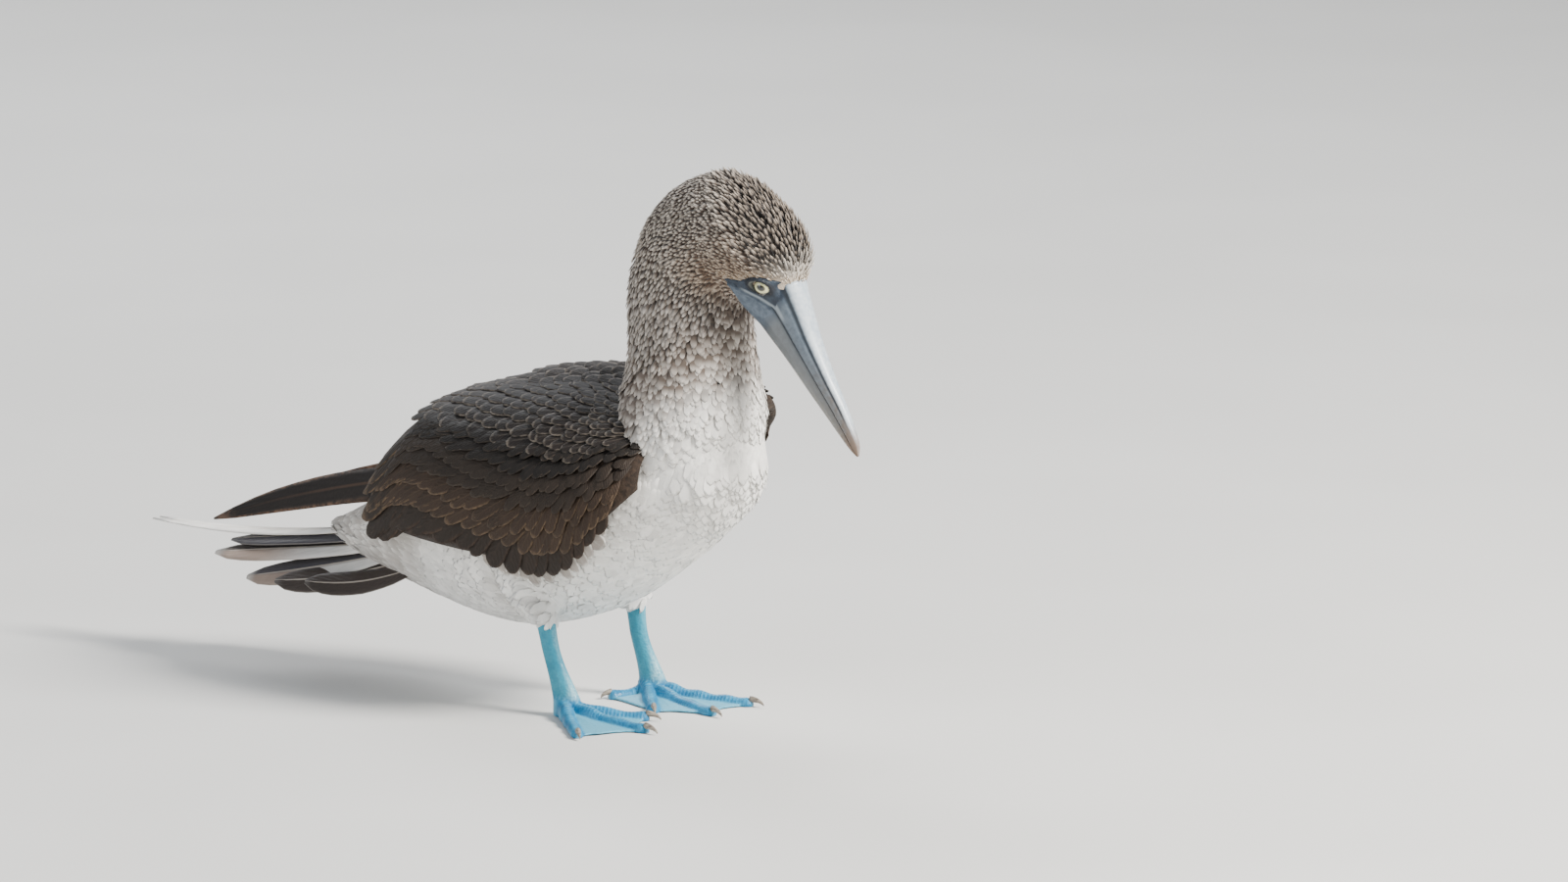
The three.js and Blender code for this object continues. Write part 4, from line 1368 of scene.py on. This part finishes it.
def make_eye(name, finish):
    side = SIDES[name]
    centre = in_head(EYE["back"], EYE["up"], -side * EYE["side"])
    axis = unit((0.34, -side, -0.05))
    across = unit(np.cross(axis, UP))
    up = np.cross(across, axis)
    rings = []
    for polar in np.linspace(0.02, math.pi - 0.02, 40):
        radius = EYE["radius"] + 0.35 * math.exp(-((polar / 0.5) ** 2))
        middle = centre + axis * radius * math.cos(polar)
        rings.append(ring(middle, across, up, *[radius * math.sin(polar)] * 3, 56))
    points, faces = loft(rings)
    offset = points - centre
    slit = unit(EYE_SLIT - axis * (EYE_SLIT @ axis))
    rise = np.cross(axis, slit) * side
    size = np.sqrt((offset @ slit / IRIS["long"]) ** 2 + (offset @ rise / IRIS["high"]) ** 2)
    values = {"iris": np.where(offset @ axis > 0, size, 3)}
    closed_piece("eyeball_" + name, (points, faces), finish, "eye", "eye_" + name, values=values)


# Legs and feet


def toe_direction(name, toe):
    heading = math.radians(LEG[name]["toes"][toe])
    return np.array([math.cos(heading), math.sin(heading), 0.0])


def ankle_of(name):
    return np.array([*LEG[name]["ankle"], ANKLE_HEIGHT], float)


def toe_form(name, toe):
    length, joints, base = (TOES[toe][key] for key in ("length", "joints", "rise"))
    direction = toe_direction(name, toe)
    across = np.array([-direction[1], direction[0], 0])
    ankle = ankle_of(name) * (1, 1, 0)
    arch = np.linspace(0, math.pi, 16)
    rings = []
    for t in np.linspace(-0.05, 1.0, 36):
        knuckle = 1 + 0.09 * math.cos(2 * math.pi * joints * t)
        close = math.sqrt(max(1 - max((t - 0.93) / 0.08, 0) ** 2, 0.12))
        half = (blend(4.9, 3.8, max(t, 0)) + 0.5 * math.exp(-(((t - 0.9) / 0.07) ** 2))) * knuckle * close
        height = (5.6 + (base - 5.6) * max(1 - max(t, 0) * 1.25, 0) ** 2) * knuckle * close
        middle = ankle + direction * t * length
        rise = UP * (height * (0.22 + 0.78 * np.sin(arch)))[:, None]
        top = middle + across * (half * np.cos(arch))[:, None] + rise
        sole = middle + across * (half * np.array([-0.75, 0, 0.75]))[:, None]
        rings.append(np.concatenate([top, sole]))
    return loft(rings)


def web_form(name, first, second):
    ankle = ankle_of(name) * (1, 1, 0)
    a, b = (toe_direction(name, toe) * TOES[toe]["length"] * 0.97 for toe in (first, second))
    rows, columns = 20, 17
    s = np.linspace(0, 1, columns)[None, :]
    t = np.linspace(0.06, 1, rows)[:, None]
    drawn = 1 - 0.1 * np.sin(math.pi * s) * t
    across = (a + (b - a) * s[..., None]) * (t * drawn)[..., None]
    height = 0.5 + 3.2 * np.sin(math.pi * s) * (1 - t) + 0.35 * np.sin(5 * math.pi * s) * t * (1 - t) * 2
    low = ankle + across + UP * height[..., None]
    high = low + 1.3 * UP
    rings = [np.concatenate([high[r], low[r][::-1]]) for r in range(rows)]
    return loft(rings)


def leg_form(name):
    top, bottom = np.array(THIGH[name]["end"], float) + (0, 0, 3), ankle_of(name)
    rings = []
    shares = [(0, 6.6, 5.2), (0.25, 6.1, 4.5), (0.55, 6.5, 4.5), (0.8, 8.0, 5.2), (1, 9.6, 6.2)]
    for t in np.linspace(0, 1, 18):
        half_length, half_width = read_table(shares, t)
        ahead = LEG[name]["ahead"] * float(smooth(0.3, 1, t)) - 1.0 * math.sin(math.pi * t)
        at = blend(top, bottom, t) + np.array([ahead, 0, 0])
        rings.append(ring(at, LEFTWARD, AHEAD, half_width, half_length, half_length, 28))
    for share in (0.75, 0.5, 0.25, 0.02):
        at = bottom * (1, 1, share) + np.array([LEG[name]["ahead"], 0, 0])
        rings.append(ring(at, LEFTWARD, AHEAD, 6.8, 9.5, 9.2, 28))
    return loft(rings)


def make_foot(name, finish):
    forms = [leg_form(name)]
    forms += [toe_form(name, toe) for toe in TOES]
    order = list(TOES)
    forms += [web_form(name, *toes) for toes in zip(order, order[1:])]
    made = softened(fused("leg_" + name + "_skin", forms, 0.62), 4)
    points = vertices_of(made)
    points[:, 2] = np.maximum(points[:, 2], 0.02)
    put_vertices(made, points)
    near = np.full(len(points), 1e9)
    along = np.zeros(len(points))
    offset = (points - ankle_of(name)) * (1, 1, 0)
    for toe, look in TOES.items():
        length, direction = look["length"], toe_direction(name, toe)
        t = np.clip(offset @ direction / length, 0, 1)
        gap = np.linalg.norm(offset - direction * (t * length)[:, None], axis=1)
        along = np.where(gap < near, t * length, along)
        near = np.minimum(near, gap)
    x, _, z = points.T
    shin = blend(THIGH[name]["end"][0], LEG[name]["ankle"][0], smooth(54, ANKLE_HEIGHT, z))
    store(made, "toe_gap", "FLOAT", np.where(z > ANKLE_HEIGHT, 0, near))
    store(made, "toe_along", "FLOAT", along)
    store(made, "on_leg", "FLOAT", smooth(9, 15, z))
    # How far ahead of the shin's middle line; the finish paints a highlight down the front of the leg with it
    store(made, "front", "FLOAT", (x - shin) / 6)
    made.data.materials.append(finish)
    piece(made, "blue_skin", "leg_" + name, "foot_" + name)


CLAW_BEND = math.radians(80)


def make_claws(name, finish):
    for toe, look in TOES.items():
        direction = toe_direction(name, toe)
        across = np.array([-direction[1], direction[0], 0])
        start = ankle_of(name) * (1, 1, 0) + direction * (look["length"] - 1.6)
        rings = []
        for t in np.linspace(0, 1, 14):
            bend = t * CLAW_BEND
            half = blend(1.8, 0.22, t**1.2)
            height = max(0.5 + 4.0 * math.cos(bend), half * 1.1 + 0.15)
            forward = (look["claw"] + 1.2) * math.sin(bend) / math.sin(CLAW_BEND)
            up = unit(UP + direction * 1.6 * t)
            at = start + direction * forward + height * UP
            rings.append(ring(at, across, up, half, half * 1.25, half * 1.1, 16))
        place = name + "_" + toe
        closed_piece("claw_horn_" + place, loft(rings), finish, "claw", "claw_" + place)


# Finishes


def wing_plumage():
    """Feathers: root colour to tip colour along each one, a pale rim, a shaft and fine barbs."""
    f = Finish("wing feathers")
    along, across, tint = f.value("along"), f.value("across"), f.value("tint")
    outside = across.absolute()
    rim = (outside.step(0.7, 1.0) * along.step(0.15, 0.6)).bigger(along.step(0.88, 1.0))
    worn = f.noise(4, 3).step(0.25, 0.7)
    base = f.mix(rim * worn, f.tone("root_colour"), f.tone("tip_colour"))
    shaft = outside.step(0.14, 0.03) * (1 - along) * 0.4
    base = f.mix(shaft, base, f.tone("tip_colour"))
    cloud = f.noise(16, 2).step(0.25, 0.8)
    base = f.lighter(base, 0.8 + tint * 0.34 + (cloud - 0.5) * 0.24)
    barbs = (along * 48.0 - outside * 15.0 + f.noise(3, 2) * 5.0).sine()
    return f.finished(base, 0.69, f.bump(barbs, 0.06), Sheen_Weight=0.03, Specular_IOR_Level=0.3)


def tail_plumage():
    """Tail feathers: dark inner half, pale outer half that whitens to its root, pale tip and shaft."""
    f = Finish("tail feathers")
    along, across, tint = f.value("along"), f.value("across"), f.value("tint")
    outside, outer = across.absolute(), across.step(-0.02, 0.2)
    pale = f.mix(along.step(0.35, 0.75), colour("dcd8d3"), f.tone("tip_colour"))
    rim = outside.step(0.9, 1.0)
    plain = f.mix(f.value("plain"), pale, f.tone("tip_colour"))
    base = f.mix(outer, f.tone("root_colour"), plain)
    base = f.mix(rim * 0.2, base, colour("cfc6bc"))
    base = f.mix(along.step(0.93, 1.0) * (0.75 - f.value("plain") * 0.65), base, colour("e8e3dc"))
    shaft = (across - 0.02).absolute().step(0.09, 0.02) * 0.7
    base = f.mix(shaft, base, colour("c9bdb0"))
    cloud = f.noise(16, 2).step(0.25, 0.8)
    base = f.lighter(base, 0.84 + tint * 0.24 + (cloud - 0.5) * 0.2)
    barbs = (along * 60.0 - outside * 18.0 + f.noise(3, 2) * 5.0).sine()
    return f.finished(base, 0.62, f.bump(barbs, 0.06), Sheen_Weight=0.1, Specular_IOR_Level=0.35)


def small_plumage():
    """Small feathers: dark root to pale tip along each, uneven from one to the next."""
    f = Finish("small feathers")
    along, tint = f.value("along"), f.value("tint")
    reach = along.step(0.42, 0.86) * (0.55 + tint * 0.45)
    base = f.mix(reach, f.tone("root_colour"), f.tone("tip_colour"))
    streak = f.noise(9, 3).step(0.3, 0.7)
    base = f.lighter(base, 0.84 + tint * 0.24 + (streak - 0.5) * 0.14)
    return f.finished(base, 0.8, f.bump(f.noise(0.7, 2), 0.12), Sheen_Weight=0.2, Specular_IOR_Level=0.25)


def skin_finish():
    f = Finish("down and skin")
    patch = f.noise(2.5, 3).step(0.3, 0.75)
    base = f.mix(0.25 + patch * 0.5, f.tone("root_colour"), f.tone("tip_colour"))
    return f.finished(base, 0.9, f.bump(f.noise(1.2, 3), 0.4), Sheen_Weight=0.2, Specular_IOR_Level=0.2)


def arm_finish():
    """The wing's own body, in the brown of the down between its feathers."""
    f = Finish("wing down")
    base = f.mix(f.noise(3, 4).step(0.3, 0.7), colour("241c17"), colour("3a2e25"))
    return f.finished(base, 0.85, f.bump(f.noise(1.5, 3), 0.4), Sheen_Weight=0.1, Specular_IOR_Level=0.2)


def bill_finish():
    f = Finish("bill horn")
    back, height = f.value("back"), f.value("height")
    # Painted highlight: the top of the bill along its ridge is painted pale
    ridge_highlight = height.step(0.66, 0.86)
    grain = f.noise(3, 4).step(0.3, 0.7)
    side = f.mix(back.step(18, 80), colour("6f675f"), colour("57626d"))
    side = f.mix(grain * 0.4, side, colour("7f8b96"))
    lower = height.step(0.02, -0.05)
    side = f.mix(lower * 0.5, side, colour("6d6c68"))
    skin = (back - height * 5.0).step(96, 105) * height.step(0.74, 0.6)
    side = f.mix(skin, side, f.mix(grain, colour("232c38"), colour("394655")))
    jaw = height.step(0.0, -0.1) * back.step(92, 104)
    side = f.mix(jaw, side, colour("5d6975"))
    strip = height.step(-0.02, 0.05) * height.step(0.24, 0.14) * back.step(92, 97)
    side = f.mix(strip * 0.75, side, colour("9aa4ab"))
    base = f.mix(ridge_highlight, side, f.mix(grain, colour("aebbc6"), colour("c9d2d8")))
    # Painted shade: a dark line along the groove in the bill's side
    groove = height.step(0.5, 0.6) * height.step(0.72, 0.64) * back.step(14, 30)
    base = f.mix(groove * 0.9, base, colour("20262d"))
    base = f.mix(back.step(26, 4) * 0.75, base, colour("7d6048"))
    base = f.mix(height.step(0.07, 0.0) * height.step(-0.1, -0.02) * 0.7, base, colour("22262b"))
    streaks = f.noise(1.4, 4, stretch=(0.35, 1, 0.35))
    return f.finished(base, 0.34 + grain * 0.12, f.bump(streaks, 0.1), Coat_Weight=0.3, Coat_Roughness=0.2)


def face_finish():
    f = Finish("bare face")
    lid, gape, back = f.value("lid"), f.value("gape"), f.value("back")
    patches = f.noise(4, 3).step(0.3, 0.7)
    base = f.mix(patches, colour("232c38"), colour("35414f"))
    jaw = gape.step(1.5, -3.0)
    base = f.mix(jaw * 0.85, base, f.mix(patches, colour("505c69"), colour("6e7a87")))
    strip = gape.step(-1.0, 0.6) * gape.step(3.2, 1.6) * back.step(125, 119)
    base = f.mix(strip * 0.7, base, colour("9aa4ab"))
    base = f.mix(lid.step(2.0, 1.3), base, colour("151921"))
    rim = lid.step(1.16, 1.08) * lid.step(0.92, 1.0)
    base = f.mix(rim * 0.8, base, colour("6a6d68"))
    wrinkles = f.noise(0.8, 4) + f.cells(1.3) * 0.6
    return f.finished(base, 0.5, f.bump(wrinkles, 0.22), Specular_IOR_Level=0.4)


def eye_finish():
    f = Finish("wet eye")
    iris = f.value("iris")
    fibre = f.noise(0.5, 3)
    base = f.mix(iris.step(0.4, 0.5), colour("0b0a09"), colour("4a4930"))
    base = f.mix(iris.step(0.56, 0.68), base, colour("dcd8a8"))
    base = f.mix(fibre.step(0.35, 0.8) * iris.step(0.5, 0.6) * 0.3, base, colour("a79b55"))
    base = f.mix(iris.step(1.02, 1.16), base, colour("15130f"))
    return f.finished(base, 0.18, None, Coat_Weight=1.0, Coat_Roughness=0.03, Specular_IOR_Level=0.5)


def foot_finish():
    f = Finish("blue scaly skin")
    gap, along, on_leg, front = (f.value(key) for key in ("toe_gap", "toe_along", "on_leg", "front"))
    scales = f.cells(1.5, 0.8)
    scutes = (along * 2.6).sine().step(-0.2, 0.9)
    web = gap.step(3.2, 6.5)
    base = f.mix(f.noise(7, 3).step(0.3, 0.75), colour("10719f"), colour("2391bd"))
    base = f.mix(web * 0.85, base, colour("68b3cc"))
    shin = f.mix(f.noise(12, 2).step(0.3, 0.7), colour("23869c"), colour("3899ad"))
    base = f.mix(on_leg * 0.85, base, shin)
    # Painted highlight: the front of the leg is painted pale, broken up by the scales
    pale = front.step(0.9, 1.6) * on_leg * (1 - scales * 0.7)
    base = f.mix(pale * 0.65, base, colour("b7dfe6"))
    # Painted highlight: the tops of the toes, along their scutes, are painted paler
    top = (1 - web) * (1 - on_leg) * scutes * gap.step(2.2, 0.4)
    base = f.mix(top * 0.35, base, colour("8fd6e6"))
    base = f.mix(scales.step(0.5, 0.9) * 0.25, base, colour("10668a"))
    height = (1 - scales) * 0.8 + scutes * (1 - on_leg) * (1 - web) * 0.6 + f.noise(2, 3) * 0.4
    return f.finished(base, 0.5, f.bump(height, 0.35), Specular_IOR_Level=0.4, Coat_Weight=0.08)


def claw_finish():
    f = Finish("claw horn")
    base = f.mix(f.noise(2, 4, stretch=(0.5, 0.5, 1.5)).step(0.3, 0.7), colour("5b5148"), colour("a2988a"))
    return f.finished(base, 0.4, f.bump(f.noise(1, 3), 0.1), Coat_Weight=0.2)


def floor_finish():
    f = Finish("pale floor")
    base = f.mix(f.noise(400, 2).step(0.3, 0.7), colour("e2e1de"), colour("dddcd9"))
    return f.finished(base, 0.85, None)


# Stage


def make_floor():
    radius = 30000
    rings = [ring((0, 0, z), AHEAD, LEFTWARD, radius, radius, radius, 96) for z in (-20, 0)]
    made = mesh_object("floor", *loft(rings), False)
    outward(made)
    made.data.materials.append(floor_finish())


CAMERA = {"azimuth": 37, "elevation": 10, "distance": 9000, "scale": 0.6}  # scale: mm for each pixel
PHOTO = {"width": 1600, "height": 900, "ankles": (619.5, 704.5)}  # the ankles' middle, in pixels
ANKLES = np.array([0.0, 0.0, 10.0])


def make_camera():
    a, e = math.radians(CAMERA["azimuth"]), math.radians(CAMERA["elevation"])
    right = np.array([math.cos(a), math.sin(a), 0])
    up = np.array([-math.sin(a) * math.sin(e), math.cos(a) * math.sin(e), math.cos(e)])
    back = np.array([math.sin(a) * math.cos(e), -math.cos(a) * math.cos(e), math.sin(e)])
    px, py = PHOTO["ankles"]
    target = ANKLES + right * (PHOTO["width"] / 2 - px) * CAMERA["scale"]
    target = target + up * (py - PHOTO["height"] / 2) * CAMERA["scale"]
    data = bpy.data.cameras.new("Camera")
    data.sensor_width = 36
    data.lens = 36 * CAMERA["distance"] / CAMERA["scale"] / PHOTO["width"]
    data.clip_end = 200
    made = bpy.data.objects.new("Camera", data)
    place = Matrix.Translation(Vector(to_row(target + back * CAMERA["distance"])))
    made.matrix_world = place @ Matrix(np.column_stack([right, up, back]).tolist()).to_4x4()
    bpy.context.scene.collection.objects.link(made)
    bpy.context.scene.camera = made


def make_light(name, place_mm, size, watts, tone):
    data = bpy.data.lights.new(name, "AREA")
    data.shape = "DISK"
    data.size = size
    data.energy = watts
    data.color = tone
    made = bpy.data.objects.new(name, data)
    place = Vector(to_row(place_mm))
    aim = Vector(to_row((0, 0, 170)))
    made.matrix_world = Matrix.Translation(place) @ (place - aim).to_track_quat("Z", "Y").to_matrix().to_4x4()
    bpy.context.scene.collection.objects.link(made)


def make_lights():
    make_light("key", (2600, 500, 2300), 1.1, 290, (1.0, 0.97, 0.92))
    make_light("fill", (-1200, -2800, 1500), 2.4, 40, (0.88, 0.94, 1.0))
    make_light("back", (-2200, 1800, 2200), 1.6, 60, (0.95, 0.97, 1.0))
    world = bpy.data.worlds.new("Studio")
    world.use_nodes = True
    background = world.node_tree.nodes["Background"]
    background.inputs["Color"].default_value = (0.86, 0.9, 0.95, 1)
    background.inputs["Strength"].default_value = 0.4
    bpy.context.scene.world = world


# The bird

make_camera()
make_lights()
make_floor()

skin = make_skin()
tufts = {name: make_tuft(name) for name in TUFTS}
make_coat(skin, tufts, small_plumage())
for tuft in tufts.values():
    bpy.data.objects.remove(tuft)
skin.data.materials.append(skin_finish())
piece(skin, "body_feathers", "head", "neck", "torso", "tail")

make_face(face_finish())
make_bill(bill_finish())
make_tail(tail_plumage())
wing_look, arm_look = wing_plumage(), arm_finish()
eye_look, foot_look, claw_look = eye_finish(), foot_finish(), claw_finish()
for side_name in SIDES:
    make_wing(side_name, wing_look)
    make_wing_core(side_name, arm_look)
    make_eye(side_name, eye_look)
    make_foot(side_name, foot_look)
    make_claws(side_name, claw_look)
